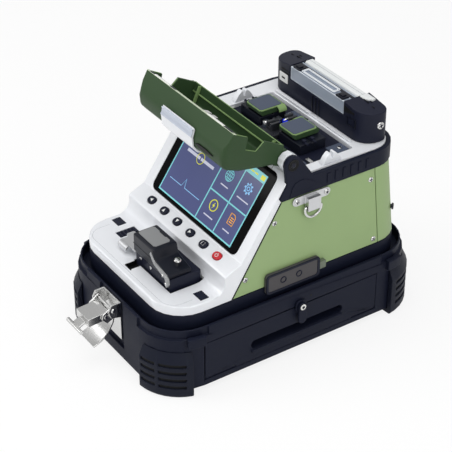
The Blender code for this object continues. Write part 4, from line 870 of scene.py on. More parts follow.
@dataclass
class CarryTray:
    """The tray with its drawer, bumpers and turn latch."""

    half_x: float = 0.073
    half_y: float = 0.114
    corner: float = 0.033
    crease_z: float = 0.0478
    crease_step: float = 0.0005
    latch_y: float = 0.0015
    latch_z: float = 0.042
    slot_z: float = 0.008
    slot_pitch: float = 0.0062
    slot_high: float = 0.0026
    slot_floor: float = 0.0025

    def away(self, x: float, y: float) -> tuple[Vector, float]:
        """The way out of the wall at a place, and its distance from the middle of the corner's arc.

        Args:
            x: place across the machine.
            y: place along it.

        Returns:
            The direction and the distance.
        """
        core_x, core_y = self.half_x - self.corner, self.half_y - self.corner
        out = Vector((x - max(-core_x, min(core_x, x)), y - max(-core_y, min(core_y, y))))
        reach = out.length
        return (out / reach if reach > MERGE else Vector((1.0, 0.0))), reach

    def shell(self, bench: Bench) -> None:
        """The tray itself, with the upper part of its wall set in at a crease.

        Args:
            bench: where pieces are made.
        """
        form = bench.copy("case_tray")
        flat = form.mesh
        geometry = flat.verts[:] + flat.edges[:] + flat.faces[:]
        bmesh.ops.bisect_plane(
            flat, geom=geometry, plane_co=(0, 0, self.crease_z), plane_no=(0, 0, 1), dist=MERGE
        )
        for vert in flat.verts:
            out, reach = self.away(vert.co.x, vert.co.y)
            if vert.co.z > self.crease_z + MERGE and abs(reach - self.corner) < 0.0004:
                vert.co.xy -= out * self.crease_step
        bench.piece("tray_shell", form.soft(0.0005), NAVY, BASE, ("case_tray",))

    def drawer(self, bench: Bench) -> None:
        """The drawer with the shallow steps along the foot of its front, and its turn latch.

        Args:
            bench: where pieces are made.
        """
        front = self.half_x
        steps = [
            Form.block((front - 0.0006, y0, 0.0085), (front + 0.001, y1, 0.0112))
            for y0, y1 in ((-0.082, -0.0545), (0.050, 0.075))
        ]
        form = bench.copy("drawer").cut(*steps).soft(0.0004)
        bench.piece("drawer_front", form, NAVY, bench.body("drawer"), ("drawer",))
        bench.skin("drawer_turn_latch", NAVY, 0.0006, 3)
        bench.skin("drawer_latch_screw", STEEL, 0.0002)
        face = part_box("drawer_latch_screw")[1].x
        ring = Form.spun(
            [(0.0013, -0.0003), (0.0024, -0.0003), (0.0024, 0.0001), (0.0021, 0.0003), (0.0013, 0.0003)]
        )
        # The hex socket is a dark bar that stands for the shade in it: painted shade.
        hexagon = Form.bar(
            (face - 0.0004, self.latch_y, self.latch_z), (face + 0.0001, self.latch_y, self.latch_z),
            0.0011, sides=6
        )
        screw_body = bench.body("drawer_latch_screw")
        bench.piece(
            "turn_latch_ring", ring.aimed((face, self.latch_y, self.latch_z), (1, 0, 0)), WHITE, screw_body
        )
        bench.piece("turn_latch_hex_shade", hexagon, DARK_AND_SHADE, screw_body)

    def slots(self, bench: Bench) -> None:
        """Painted shade in the slots of the corner bumpers: a black floor in each slot.

        Args:
            bench: where pieces are made.
        """
        core_x, core_y = self.half_x - self.corner, self.half_y - self.corner
        inner, outer = self.corner + self.slot_floor, self.corner + self.slot_floor + 0.0007
        # Each floor is a black slab that stands for the shade in its slot: painted shade.
        slot_shade_floors = Form()
        for end_x in (1, -1):
            for end_y, start in ((-1, 25.0), (1, 14.0)):
                for first, last in ((start, 57.0), (61.5, 81.0)):
                    ring = arc((0.0, 0.0), outer, first, last, 12) + arc((0.0, 0.0), inner, last, first, 12)
                    outline = [(end_x * (core_x + x), end_y * (core_y + y)) for x, y in ring]
                    for row in range(4):
                        low = self.slot_z + self.slot_pitch * row + 0.0001
                        slot_shade_floors.adding(Form.slab(outline, low, low + self.slot_high))
        bench.piece("bumper_slot_shade", slot_shade_floors, BLACK_AND_SHADE)

    def build(self, bench: Bench) -> None:
        """Make the tray's pieces.

        Args:
            bench: where pieces are made.
        """
        self.shell(bench)
        self.slots(bench)
        self.drawer(bench)
        for name in ("front_left", "front_right", "rear_left", "rear_right"):
            bench.skin(f"bumper_{name}", RUBBER, 0.0005, 2)
        # A black disc on the tray's side where a small hole is, standing for the shade in it: painted
        # shade.
        hole_shade = Form.bar(
            (self.half_x - 0.001, 0.0115, 0.0463), (self.half_x + 0.00004, 0.0115, 0.0463), 0.0009
        )
        bench.piece("tray_hole_shade", hole_shade, BLACK_AND_SHADE)


@dataclass
class DrawLatch:
    """The plated draw latch on the tray's front."""

    pivot_y: float = -0.1190
    pivot_z: float = 0.048
    hook_y: float = -0.1240
    hook_z: float = 0.0435

    def build(self, bench: Bench) -> None:
        """Make the latch's pieces.

        Args:
            bench: where pieces are made.
        """
        for node in ("front_latch_plate", "front_latch_pin", "front_latch_lever", "front_latch_hook"):
            bench.skin(node, STEEL, 0.00025)
        lever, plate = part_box("front_latch_lever")[1].x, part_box("front_latch_plate")[1].x
        flush, round_head = Screw(0.0017, 0.00018, Drive.HEX), Screw(0.0018, 0.0007, Drive.HEX)
        hooks, pivots = [], []
        for side in (-1, 1):
            hooks.append(((side * lever, self.hook_y, self.hook_z), (side, 0, 0)))
            pivots.append(((side * plate, self.pivot_y, self.pivot_z), (side, 0, 0)))
        bench.screws("latch_hook_rivets", bench.body("front_latch_lever"), flush, hooks)
        bench.screws("latch_rivets", bench.body("front_latch_plate"), round_head, pivots)


@dataclass
class Display:
    """The lit screen: plain tiles with simple pictures, thin on the glass."""

    half: float = 0.0476
    low: float = 0.004
    high: float = 0.0615
    bar: float = 0.0552
    row: float = 0.0292
    columns: tuple[float, float] = (0.0016, 0.025)
    line: float = 0.0011
    lift: float = 0.00005
    middle: float = 0.0132
    right: float = 0.0361
    joint: float = -0.022
    trace_y: float = 0.0165

    def strip(self, low: Flat, high: Flat) -> Form:
        """A flat strip on the glass."""
        return Form.block((*low, 0.0), (*high, 2 * self.lift))

    def wire(self, *paths: Sequence[Point], radius: float = 0.0003) -> Form:
        """Lines of a picture; a path of more than four points is closed.

        Args:
            paths: the paths.
            radius: half the lines' width.

        Returns:
            The form.
        """
        form = Form()
        for path in paths:
            closed = len(path) > 4
            form.adding(Form.tube(path, radius, 6, closed))
        return form

    def globe(self, x: float, y: float) -> Form:
        """A globe with its meridians.

        Args:
            x: its middle across the glass.
            y: its middle up the glass.

        Returns:
            The form.
        """
        radius = 0.0043
        lines = [loop(x, y, radius, radius), loop(x, y, radius * 0.45, radius)]
        lines.append([(x - radius, y, 0.0), (x + radius, y, 0.0)])
        lines.append([(x, y - radius, 0.0), (x, y + radius, 0.0)])
        for side in (-1, 1):
            reach = radius * 0.84
            lines.append(
                [(x - reach, y + side * radius * 0.52, 0.0), (x + reach, y + side * radius * 0.52, 0.0)]
            )
        return self.wire(*lines)

    def gear(self, x: float, y: float) -> Form:
        """A toothed wheel.

        Args:
            x: its middle across the glass.
            y: its middle up the glass.

        Returns:
            The form.
        """
        form = self.wire(loop(x, y, 0.003, 0.003), loop(x, y, 0.0014, 0.0014), radius=0.0004)
        for n in range(8):
            tooth = self.strip((0.003, -0.0007), (0.0045, 0.0007)).swung(45.0 * n, "Z", ORIGIN)
            form.adding(tooth.moved((x, y, 0.0)))
        return form

    def bolt(self, x: float, y: float) -> Form:
        """A ring round a lightning bolt.

        Args:
            x: its middle across the glass.
            y: its middle up the glass.

        Returns:
            The form.
        """
        flash = [
            (0.0008, 0.0026), (-0.0014, -0.0004), (-0.0001, -0.0004), (-0.0008, -0.0026), (0.0014, 0.0004),
            (0.0001, 0.0004)
        ]
        mark = Form.slab([(x + a, y + b) for a, b in flash], 0.0, 2 * self.lift)
        return self.wire(loop(x, y, 0.0042, 0.0042), radius=0.0004).adding(mark)

    def sheet(self, x: float, y: float) -> Form:
        """A page with a turned corner and three lines.

        Args:
            x: its middle across the glass.
            y: its middle up the glass.

        Returns:
            The form.
        """
        page = [(-0.003, -0.004), (0.003, -0.004), (0.003, 0.0022), (0.0012, 0.004), (-0.003, 0.004)]
        edge = [(x + a, y + b, 0.0) for a, b in page]
        form = self.wire(edge, radius=0.00035)
        for n in range(3):
            form.adding(
                self.strip((x - 0.0017, y - 0.0026 + 0.0016 * n), (x + 0.0017, y - 0.0019 + 0.0016 * n))
            )
        return form

    def put(self, bench: Bench, name: str, form: Form, finish: Finish, level: int) -> None:
        """Lay one colour of the picture on the glass, at its level above it."""
        form.moved((0.0, 0.0, level * self.lift))
        bench.piece(f"screen_{name}", SCREEN.lay(form), finish)

    def build(self, bench: Bench) -> None:
        """Make the picture.

        Args:
            bench: where pieces are made.
        """
        bench.skin("display_glass", GLASS, 0.0003)
        half, low, high, line = self.half, self.low, self.high, self.line
        self.put(bench, "ground", self.strip((-half, low), (half, high)), SCREEN_BLUE, 0)
        lines = self.strip((-half, self.bar), (half, high))
        lines.adding(
            self.strip((-half, low), (half, low + line)), self.strip((-half, low), (line - half, self.bar))
        )
        lines.adding(self.strip((half - line, low), (half, self.bar)))
        for x in self.columns:
            lines.adding(self.strip((x - line / 2, low), (x + line / 2, self.bar)))
        lines.adding(self.strip((self.columns[0], self.row - line / 2), (half, self.row + line / 2)))
        self.put(bench, "lines", lines, SCREEN_CYAN, 1)
        middle, right, joint = self.middle, self.right, self.joint
        self.put(bench, "globe", self.globe(middle, 0.0452), SCREEN_CYAN, 1)
        self.put(bench, "gear", self.gear(right, 0.0459), SCREEN_SKY, 1)
        self.put(bench, "bolt", self.bolt(middle, 0.0204), SCREEN_YELLOW, 1)
        self.put(bench, "page", self.sheet(right, 0.0207), SCREEN_ORANGE, 1)
        captions = Form()
        for x, y, reach in (
            (middle, 0.0362, 0.0045), (right, 0.0362, 0.0068), (middle, 0.011, 0.0056),
            (right, 0.011, 0.004)
        ):
            captions.adding(self.strip((x - reach, y), (x + reach, y + 0.0009)))
        for side in (-1, 1):
            near, far = joint + side * 0.0006, joint + side * 0.017
            captions.adding(self.strip((min(near, far), 0.0405), (max(near, far), 0.0428)))
        self.put(bench, "captions", captions, SCREEN_WHITE, 1)
        self.put(bench, "joint", self.wire(loop(joint, 0.04165, 0.0042, 0.0042)), SCREEN_YELLOW, 1)
        flat = self.trace_y
        trace = [(-0.042, flat, 0.0), (-0.027, flat, 0.0), (-0.0245, 0.023, 0.0), (-0.0225, flat, 0.0)]
        tail = [(-0.0225, flat, 0.0), (-0.003, flat, 0.0)]
        self.put(bench, "trace", self.wire(trace, tail), SCREEN_SKY, 1)
        status = Form()
        for n in range(4):
            status.adding(self.strip((0.0212 + 0.0044 * n, 0.0578), (0.0246 + 0.0044 * n, 0.0590)))
        status.adding(self.strip((0.0415, 0.0568), (0.0462, 0.0602)))
        self.put(bench, "status", status, SCREEN_YELLOW, 2)


@dataclass
class Keypad:
    """The key strip: five dark keys and the red power key, each with a plain mark."""

    pitch: float = 0.01756
    middle: float = 0.0066
    proud: float = 0.0011
    mark_size: float = 0.0014

    def mark(self, key: str) -> Form:
        """The mark on one key, drawn flat round the origin.

        Args:
            key: the key's name.

        Returns:
            The form.
        """
        size = self.mark_size
        triangle = [(-size, -size), (size, -size), (0.0, size)]
        turns = {"key_up": 0.0, "key_down": 180.0, "key_right": -90.0, "key_back": 90.0}
        if key in turns:
            return Form.slab(triangle, 0.0, 0.0001).swung(turns[key], "Z", ORIGIN)
        if key == "key_set":
            corners = ((-size, -size), (size, -size), (size, size), (-size, size))
            return Form.tube([(x, y, 0.0) for x, y in corners], 0.0003, 6, True)
        ring = [
            (size * math.sin(t), size * math.cos(t), 0.0) for t in (0.6 + n * 5.08 / 16 for n in range(17))
        ]
        return Form.tube(ring, 0.00025, 6).adding(
            Form.block((-0.0002, 0.0003, 0.0), (0.0002, 0.0019, 0.0001))
        )

    def build(self, bench: Bench) -> None:
        """Make the keys and their marks.

        Args:
            bench: where pieces are made.
        """
        keys = ("key_back", "key_up", "key_down", "key_right", "key_set", "power_key")
        for n, key in enumerate(keys):
            bench.skin(key, RED if key == "power_key" else DARK_AND_SHADE, 0.0006, 3)
            x = (n - (len(keys) - 1) / 2) * self.pitch
            mark = STRIP.lay(self.mark(key).moved((x, self.middle, self.proud)))
            bench.piece(f"{key}_mark", mark, WHITE, bench.body(key))


@dataclass
class Body:
    """The splicer's own casing."""

    half: float = 0.0655
    trim_x: float = 0.0663
    deck_z: float = 0.0705
    well_z: float = 0.0665
    strap_z: float = 0.127
    hinge_y: float = -0.0026
    hinge_z: float = 0.158
    rear_y: float = 0.105
    rear_z: float = 0.0637
    rear_lean: float = 0.1488
    slot: tuple[Flat, Flat] = ((-0.0448, -0.083), (-0.0368, -0.067))
    pits: tuple[tuple[Flat, Flat], tuple[Flat, Flat]] = (
        ((-0.0071, -0.0895), (0.0427, -0.0614)),
        ((-0.0058, -0.098), (0.002, -0.088)),
    )
    port_face: float = 0.0686

    def pit(self, gap: float, low: float, high: float) -> Form:
        """The cleaver's pit with the notch in front of it, drawn in by a gap.

        Args:
            gap: how far it is drawn in.
            low: height of its floor.
            high: height of its top.

        Returns:
            The form.
        """
        whole, notch = (
            Form.block((x0 + gap, y0 + gap, low), (x1 - gap, y1 - gap, high))
            for (x0, y0), (x1, y1) in self.pits
        )
        return whole.fused(notch)

    def rear(self, x: float, z: float) -> Point:
        """A point on the rear panel, which leans forward."""
        return (x, self.rear_y - (z - self.rear_z) * self.rear_lean, z)

    def deck(self, bench: Bench) -> None:
        """The silver front with its groove line and dark wells, both painted shade, and its rubber pads.

        Args:
            bench: where pieces are made.
        """
        form = bench.copy("front_bezel")
        top = self.deck_z - 0.0003
        form.soft(0.0011, 3, pick=lambda p: top < p.z < top + 0.0006 and (abs(p.x) > 0.064 or p.y < -0.095))
        form.soft(0.0004, 2)
        bench.piece("front_shell", form, SILVER, BASE, ("front_bezel",))
        # The groove is a proud grey line that stands for the shade in it: painted shade.
        z = self.deck_z - 0.0002
        side = [(-0.0568, -0.081)] + arc((-0.0458, -0.0893), 0.011, 180, 270)
        path = side + [(-x + 0.0008, y) for x, y in reversed(side)]
        bench.piece("deck_groove_shade", Form.tube([(x, y, z) for x, y in path], 0.00026, 6), SHADE_LINE)
        # The pits are lined with a thin black shell that stands for the shade in them: painted shade.
        low, high = self.well_z, self.deck_z - 0.00015
        well = self.pit(0.00002, low, high)
        hollow = self.pit(0.00022, low + 0.0002, high + 0.001)
        (x0, y0), (x1, y1) = self.slot
        slot = Form.block((x0 + 0.0001, y0 + 0.0001, low), (x1 - 0.0001, y1 - 0.0001, high - 0.0004))
        for n in range(5):
            y = y0 + 0.0012 + 0.003 * n
            ridge = Form.block((x0 + 0.0006, y, high - 0.001), (x1 - 0.0006, y + 0.0014, high + 0.0005))
            slot.adding(ridge.soft(0.0004))
        bench.piece("deck_slot", slot, DARK_AND_SHADE)
        bench.piece("deck_pit_shade", well.cut(hollow), BLACK_AND_SHADE)
        pads = Form()
        for x in (-0.0565, 0.0565):
            teeth = []
            for n in range(11):
                teeth.append((x - 0.005 + 0.001 * n, -0.0694 + (0.0004 if n % 2 else -0.0003)))
            outline = [(x - 0.005, -0.0766), (x + 0.005, -0.0766)] + teeth[::-1]
            pads.adding(Form.slab(outline, self.deck_z - 0.001, self.deck_z - 0.0002))
        bench.piece("deck_pads", pads, DARK_AND_SHADE)

    def panels(self, bench: Bench) -> None:
        """The green sheet panels with their screws.

        Args:
            bench: where pieces are made.
        """
        for node in ("side_panel_left", "side_panel_right", "rear_panel"):
            bench.skin(node, GREEN, 0.0003)
        seams = Form()
        for x in (-self.half, self.half):
            seams.adding(Form.tube([(x, -0.0528, 0.0638), (x, -0.0120, 0.1302)], 0.0005, 8))
        bench.piece("panel_seams", seams, BLACK_AND_SHADE)
        spots = ((-0.0417, 0.0764), (-0.0174, 0.1153), (0.0673, 0.122), (0.0731, 0.0685))
        for name, side in (("right", 1), ("left", -1)):
            out = (side, 0.0, 0.0)
            places = [((side * self.half, y, z), out) for y, z in spots]
            face = side * (self.half + 0.0015)
            places += [((face, y, self.strap_z), out) for y in (0.0008, 0.0265)]
            bench.screws(f"panel_screws_{name}", BASE, Screw(0.0022, 0.0009), places)
        studs = Form()
        profile = [
            (0.0, -0.002), (0.0016, -0.002), (0.0016, 0.0014), (0.0025, 0.0016), (0.0025, 0.0026),
            (0.0019, 0.003), (0.0, 0.003)
        ]
        for side in (1, -1):
            studs.adding(Form.spun(profile).aimed((side * 0.0578, 0.0938, 0.0858), (side, 1.0, 0.0)))
        bench.piece("rear_studs", studs, SATIN_BLACK)
        door = [self.rear(x, z) for x, z in rounded((-0.030, 0.0745), (0.030, 0.1165), 0.003, 4)]
        bench.piece("rear_door_seam", Form.tube(door, 0.0003, 6, True), BLACK_AND_SHADE)
        places = []
        for x in (-0.0365, 0.0365):
            for z in (0.0705, 0.1205):
                places.append((self.rear(x, z), (0.0, 1.0, self.rear_lean)))
        bench.screws("rear_screws", BASE, Screw(0.0022, 0.0009), places)

    def straps(self, bench: Bench) -> None:
        """The strap rings in their brackets.

        Args:
            bench: where pieces are made.
        """
        for side in ("left", "right"):
            bench.skin(f"strap_bracket_{side}", SATIN, 0.0004, 3)
            bench.skin(f"strap_ring_{side}", STEEL, 0.0002)

    def trim(self, bench: Bench) -> None:
        """The dark trim round the top with its ribs, raised plates and hinge bolts.

        Args:
            bench: where pieces are made.
        """
        bench.skin("top_trim", NAVY, 0.0004)
        bench.skin("top_frame", SILVER, 0.0004)
        ribs = Form()
        cheek = [
            (-0.0056, 0.1318), (-0.0035, 0.139), (-0.0012, 0.1424), (0.003, 0.1438), (0.0075, 0.1438),
            (0.0172, 0.1385), (0.0195, 0.1318),
        ]
        for side in (1, -1):
            for n in range(6):
                y = 0.0286 + 0.0069 * n
                rib = Form.slab(
                    rounded((y - 0.0016, 0.1334), (y + 0.0016, 0.1415), 0.0006, 3), 0.0658, 0.0669, Axis.X
                )
                ribs.adding(rib.soft(0.0003).mirrored(side))
            ribs.adding(Form.slab(cheek, 0.0658, 0.0667, Axis.X).soft(0.0002, angle=60.0).mirrored(side))
        bench.piece("trim_ribs", ribs, NAVY)
        washers = Form()
        places = []
        for side in (1, -1):
            foot = (side * (self.trim_x - 0.0002), self.hinge_y, self.hinge_z)
            ring = Form.spun(
                [
                    (0.0023, 0.0), (0.0046, 0.0), (0.0046, 0.0003), (0.0043, 0.0006), (0.0036, 0.0003),
                    (0.0023, 0.0002)
                ]
            )
            washers.adding(ring.aimed(foot, (side, 0, 0)))
            places.append((foot, (side, 0, 0)))
            bench.skin(f"cover_pin_{'right' if side > 0 else 'left'}", SATIN_BLACK, 0.0003)
        bench.piece("hinge_washers", washers, BLACK_AND_SHADE)
        bench.screws("hinge_bolts", BASE, Screw(0.0022, 0.0007, Drive.HEX), places, SATIN_BLACK)

    def port(self, bench: Bench) -> None:
        """The rubber port cover with its border, two round bosses and pull tab.

        Args:
            bench: where pieces are made.
        """
        body = bench.body("port_cover")
        bench.skin("port_cover", GREY_RUBBER, 0.0006)
        face = self.port_face
        border = Form.slab(
            rounded((-0.0254, 0.0578), (0.0219, 0.0743), 0.0029), face - 0.0008, face + 0.0005, Axis.X
        )
        border.cut(
            Form.slab(
                rounded((-0.0236, 0.0596), (0.0196, 0.0725), 0.002), face - 0.002, face + 0.002, Axis.X
            )
        )
        bench.piece("port_border", border.soft(0.0003), DARK_AND_SHADE, body)
        bosses = Form()
        for y, z in ((-0.0105, 0.0663), (0.0033, 0.0663)):
            bosses.adding(
                Form.tube([(face, a, b) for a, b, _ in loop(y, z, 0.0023, 0.0023)], 0.0005, 8, True)
            )
        bench.piece("port_bosses", bosses, DARK_AND_SHADE, body)
        tab = Form.slab(rounded((0.0212, 0.0628), (0.0274, 0.0692), 0.0008, 4), 0.0655, 0.069, Axis.X)
        bench.piece("port_tab", tab.soft(0.0004), TAB, body)

    def build(self, bench: Bench) -> None:
        """Make the casing's pieces.

        Args:
            bench: where pieces are made.
        """
        self.deck(bench)
        self.panels(bench)
        self.straps(bench)
        self.trim(bench)
        self.port(bench)
        bench.skin("chassis_pan", NAVY, 0.0004)
        bench.tint(BOARD, "main_board", "port_block")
        bench.tint(WRAP, "battery_pack")
        bench.tint(DARK_AND_SHADE, "display_panel", "microscope_front", "microscope_rear")
        bench.tint(SATIN, "feed_motor_left", "feed_motor_right")


@dataclass
class WindCover:
    """The hinged wind cover with its pull handle, drawn shut and then swung open."""

    half: float = 0.0557
    wall: float = 0.0022
    hinge: Flat = (-0.0026, 0.158)
    opened: float = 155.0

    def put(self, bench: Bench, name: str, form: Form, finish: Finish) -> None:
        """Swing a form that was drawn on the shut cover to where the open one is."""
        bench.piece(
            name, form.swung(self.opened, "X", (0.0, *self.hinge)), finish, bench.body("wind_cover")
        )

    def block(self, x: Flat, y: Flat, z: Flat) -> Form:
        """A box drawn on the shut cover, with y and z measured from its hinge."""
        (hy, hz) = self.hinge
        return Form.block((x[0], hy + y[0], hz + z[0]), (x[1], hy + y[1], hz + z[1]))

    def build(self, bench: Bench) -> None:
        """Make the cover's pieces.

        Args:
            bench: where pieces are made.
        """
        bench.skin("wind_cover", COVER_GREEN, 0.0005, 3)
        bench.skin("wind_cover_handle", SILVER, 0.0004, 3)
        (hy, hz) = self.hinge
        # The concave grip is real in shape, and its darker silver stands for the shade in the hollow:
        # painted shade.
        grip = [
            (0.0556, 0.0074), (0.0553, 0.0074), (0.0559, 0.0016), (0.0570, 0.0011), (0.0573, 0.0018),
            (0.0564, 0.0030), (0.0559, 0.0050), (0.0562, 0.0070),
        ]
        shaded_pull = Form.slab([(hy + a, hz + b) for a, b in grip], -0.0199, 0.0199, Axis.X)
        self.put(bench, "handle_grip_shade", shaded_pull.soft(0.0002, angle=40.0), SHADED_HANDLE)
        inner = self.half - self.wall
        # A thin pale strip on the rim face that stands for the light along it: painted highlight.
        edge = self.block((-self.half, self.half), (0.0501, 0.0523), (-0.0123, -0.0119))
        self.put(bench, "cover_rim_highlight", edge.soft(0.0001), RIM_HIGHLIGHT)
        # The ribs are coloured light green to stand for the light on them: painted highlight.
        ribs = self.block((-inner, inner), (0.0060, 0.0072), (-0.0035, -0.0025))
        for x in (-0.047, 0.047):
            ribs.adding(self.block((x - 0.0008, x + 0.0008), (0.006, 0.0085), (-0.009, 0.004)))
        self.put(bench, "cover_rib_highlights", ribs.soft(0.0003), GREEN_HIGHLIGHT)
        # Light green lines along the walls' edges: painted highlight.
        lines = Form()
        for x in (-inner - 0.0011, inner + 0.0011):
            notch = (
                (0.0497, 0.1460), (0.0371, 0.1467), (0.0346, 0.1560), (0.0248, 0.1560), (0.0212, 0.1484),
                (0.0030, 0.1486)
            )
            lines.adding(Form.tube([(x, y, z) for y, z in notch], 0.0004, 8))
        lines.adding(Form.tube([(-inner, 0.0034, 0.1486), (inner, 0.0034, 0.1486)], 0.0004, 8))
        self.put(bench, "cover_edge_highlights", lines, GREEN_HIGHLIGHT)
        rows = (
            (
                "cover_seals", WHITE, (0.0499, 0.0522), (-0.0128, -0.0118),
                ((-0.046, -0.026), (0.022, 0.042))
            ),
            (
                "cover_blocks", DARK_AND_SHADE, (0.0498, 0.0522), (-0.0126, -0.0116),
                ((-0.0525, -0.0463), (0.0423, 0.0525), (-0.0257, -0.019)),
            ),
        )
        for name, finish, y, z, spans in rows:
            row = Form().adding(*[self.block(x, y, z) for x in spans])
            self.put(bench, name, row.soft(0.0004), finish)
        clips = Form()
        for x in (-0.0070, 0.0008):
            clip = self.block((x, x + 0.0055), (0.0265, 0.0335), (-0.0052, 0.008))
            clips.adding(clip.soft(0.0006))
        disc = Form.spun(
            [
                (0.0, -0.004), (0.0042, -0.004), (0.0042, 0.0), (0.0036, 0.0006), (0.0018, 0.0004),
                (0.0, 0.0004)
            ]
        )
        clips.adding(
            disc.aimed((-0.0125, self.hinge[0] + 0.0215, self.hinge[1] + 0.0035), (0.0, 0.0, -1.0))
        )
        self.put(bench, "cover_clips", clips, STEEL)
        # The pocket is a flat black slab that stands for the shade in the recess: painted shade.
        lens = [
            (0.0225, 0.0), (0.026, 0.0016), (0.036, 0.0019), (0.0445, 0.0004), (0.036, -0.0016),
            (0.026, -0.0018)
        ]
        pocket = Form.slab(lens, -0.0002, 0.0006).swung(-57.0, "X", ORIGIN)
        pocket.moved((0.0, hy + 0.0523, hz + 0.0098))
        self.put(bench, "cover_pocket_shade", pocket.soft(0.0002), BLACK_AND_SHADE)
        carriers = self.block((-0.018, 0.018), (0.016, 0.046), (0.006, 0.0095))
        self.put(bench, "cover_carrier", carriers.soft(0.0008), BLACK_AND_SHADE)


@dataclass
class Stage:
    """The splicing stage under the wind cover."""

    plate_z: float = 0.142
    clamp_z: float = 0.1555
    hook: Flat = (0.0118, 0.1515)

    def clamps(self, bench: Bench) -> None:
        """The carriages with their clamp levers, pads and end pins.

        Args:
            bench: where pieces are made.
        """
        for name, side in (("left", -1), ("right", 1)):
            carriage = bench.body(f"carriage_{name}")
            lever = bench.body(f"clamp_lever_{name}")
            bench.skin(f"carriage_{name}", SATIN_BLACK, 0.0005, 3)
            bench.skin(f"clamp_lever_{name}", COVER_GREEN, 0.0007, 3)
            # A light green border round the pad that stands for the light on the lever's edge: painted
            # highlight.
            edge = Form.slab(
                rounded((0.0113, 0.0238), (0.0302, 0.0448), 0.0022), self.clamp_z - 0.0007,
                self.clamp_z + 0.0002
            )
            bench.piece(f"clamp_edge_highlight_{name}", edge.soft(0.0002).mirrored(side), GREEN_HIGHLIGHT, lever)
            pad = Form.slab(
                rounded((0.0121, 0.0245), (0.0294, 0.0438), 0.0018), self.clamp_z, self.clamp_z + 0.0006
            )
            bench.piece(f"clamp_pad_{name}", pad.soft(0.0002).mirrored(side), SLATE, lever)
            # The hook is coloured light green for the light on it: painted highlight.
            top = arc(self.hook, 0.0042, 90, 175, 8)
            under = arc(self.hook, 0.0032, 175, 90, 8)
            hook = Form.slab(top + under, 0.0385, 0.0452, Axis.Y).soft(0.0002, angle=60.0)
            bench.piece(f"clamp_hook_{name}", hook.mirrored(side), GREEN_HIGHLIGHT, lever)
            pins = Form()
            for y in (0.0295, 0.0365):
                pins.adding(
                    Form.bar((0.033, y, 0.1505), (0.0395, y, 0.1505), 0.0009, sides=12).mirrored(side)
                )
            for y in (0.0282, 0.0352):
                clip = Form.block((0.0335, y, 0.1498), (0.0365, y + 0.0026, 0.1525)).soft(0.0004)
                pins.adding(clip.mirrored(side))
            bench.piece(f"carriage_pins_{name}", pins, DARK_AND_SHADE, carriage)

    def furniture(self, bench: Bench) -> None:
        """The small fixed pieces round the grooves: plates, lamp, screws and rail.

        Args:
            bench: where pieces are made.
        """
        z = self.plate_z
        lamp = Form.block((-0.0026, 0.0372, z + 0.003), (0.0016, 0.0400, z + 0.0072)).soft(0.0006, 3)
        bench.piece("stage_lamp", lamp, BLUE)
        plates = Form()
        flats = (
            ((-0.041, 0.0145), (-0.0165, 0.0225), 0.0012), ((-0.0165, 0.0475), (0.006, 0.0585), 0.0014),
            ((0.0395, 0.0135), (0.0518, 0.0215), 0.001), ((0.0395, 0.045), (0.052, 0.0585), 0.0012),
        )
        for low, high, rise in flats:
            plates.adding(Form.slab(rounded(low, high, 0.001), z, z + rise))
        plates.adding(Form.slab(arc((0.0005, 0.0205), 0.0055, 0, 345, 23), z, z + 0.0024))
        plates.adding(Form.bar((0.003, 0.0537, z), (0.003, 0.0537, z + 0.0028), 0.0034))
        plates.adding(Form.bar((-0.0064, 0.0258, z + 0.003), (-0.0064, 0.0258, z + 0.0062), 0.0028))
        bench.piece("stage_plates", plates.soft(0.0003), SLATE)
        bright = Form()
        clips = (
            ((-0.0446, 0.0152), (-0.0420, 0.0225), 0.0034), ((-0.0335, 0.0160), (-0.030, 0.0195), 0.0026),
            ((0.0455, 0.0228), (0.0518, 0.0258), 0.0024),
        )
        for low, high, rise in clips:
            bright.adding(Form.slab(rounded(low, high, 0.0004, 3), z, z + rise))
        bench.piece("stage_clips", bright.soft(0.0003), STEEL)
        up = (0.0, 0.0, 1.0)
        big = ((-0.0095, 0.0202, 0.0012), (0.003, 0.0537, 0.0028), (-0.0064, 0.0258, 0.0062))
        small = (
            (0.0456, 0.0532, 0.0012), (0.0463, 0.0188, 0.001), (-0.0190, 0.0175, 0.0012),
            (-0.0130, 0.0525, 0.0014),
        )
        for name, screw, spots in (
            ("stage_screws", Screw(0.0029, 0.0022), big),
            ("stage_small_screws", Screw(0.0019, 0.0012), small),
        ):
            bench.screws(name, BASE, screw, [((x, y, z + rise), up) for x, y, rise in spots])
        rail = Form.block((-0.045, 0.0608, 0.1448), (-0.002, 0.0636, 0.1472)).soft(0.0004)
        rail.adding(Form.block((-0.002, 0.0612, 0.1448), (0.046, 0.0632, 0.1464)).soft(0.0004))
        bench.piece("stage_rail", rail, SILVER)

    def build(self, bench: Bench) -> None:
        """Make the stage's pieces.

        Args:
            bench: where pieces are made.
        """
        bench.skin("stage_plate", DARK_AND_SHADE, 0.0003)
        bench.skin("v_groove_block", CERAMIC, 0.0002)
        for end in ("front", "rear"):
            bench.skin(f"electrode_{end}", STEEL, 0.0001)
        for side in ("left", "right"):
            bench.skin(f"fibre_guide_{side}", SILVER, 0.0003)
        self.clamps(bench)
        self.furniture(bench)


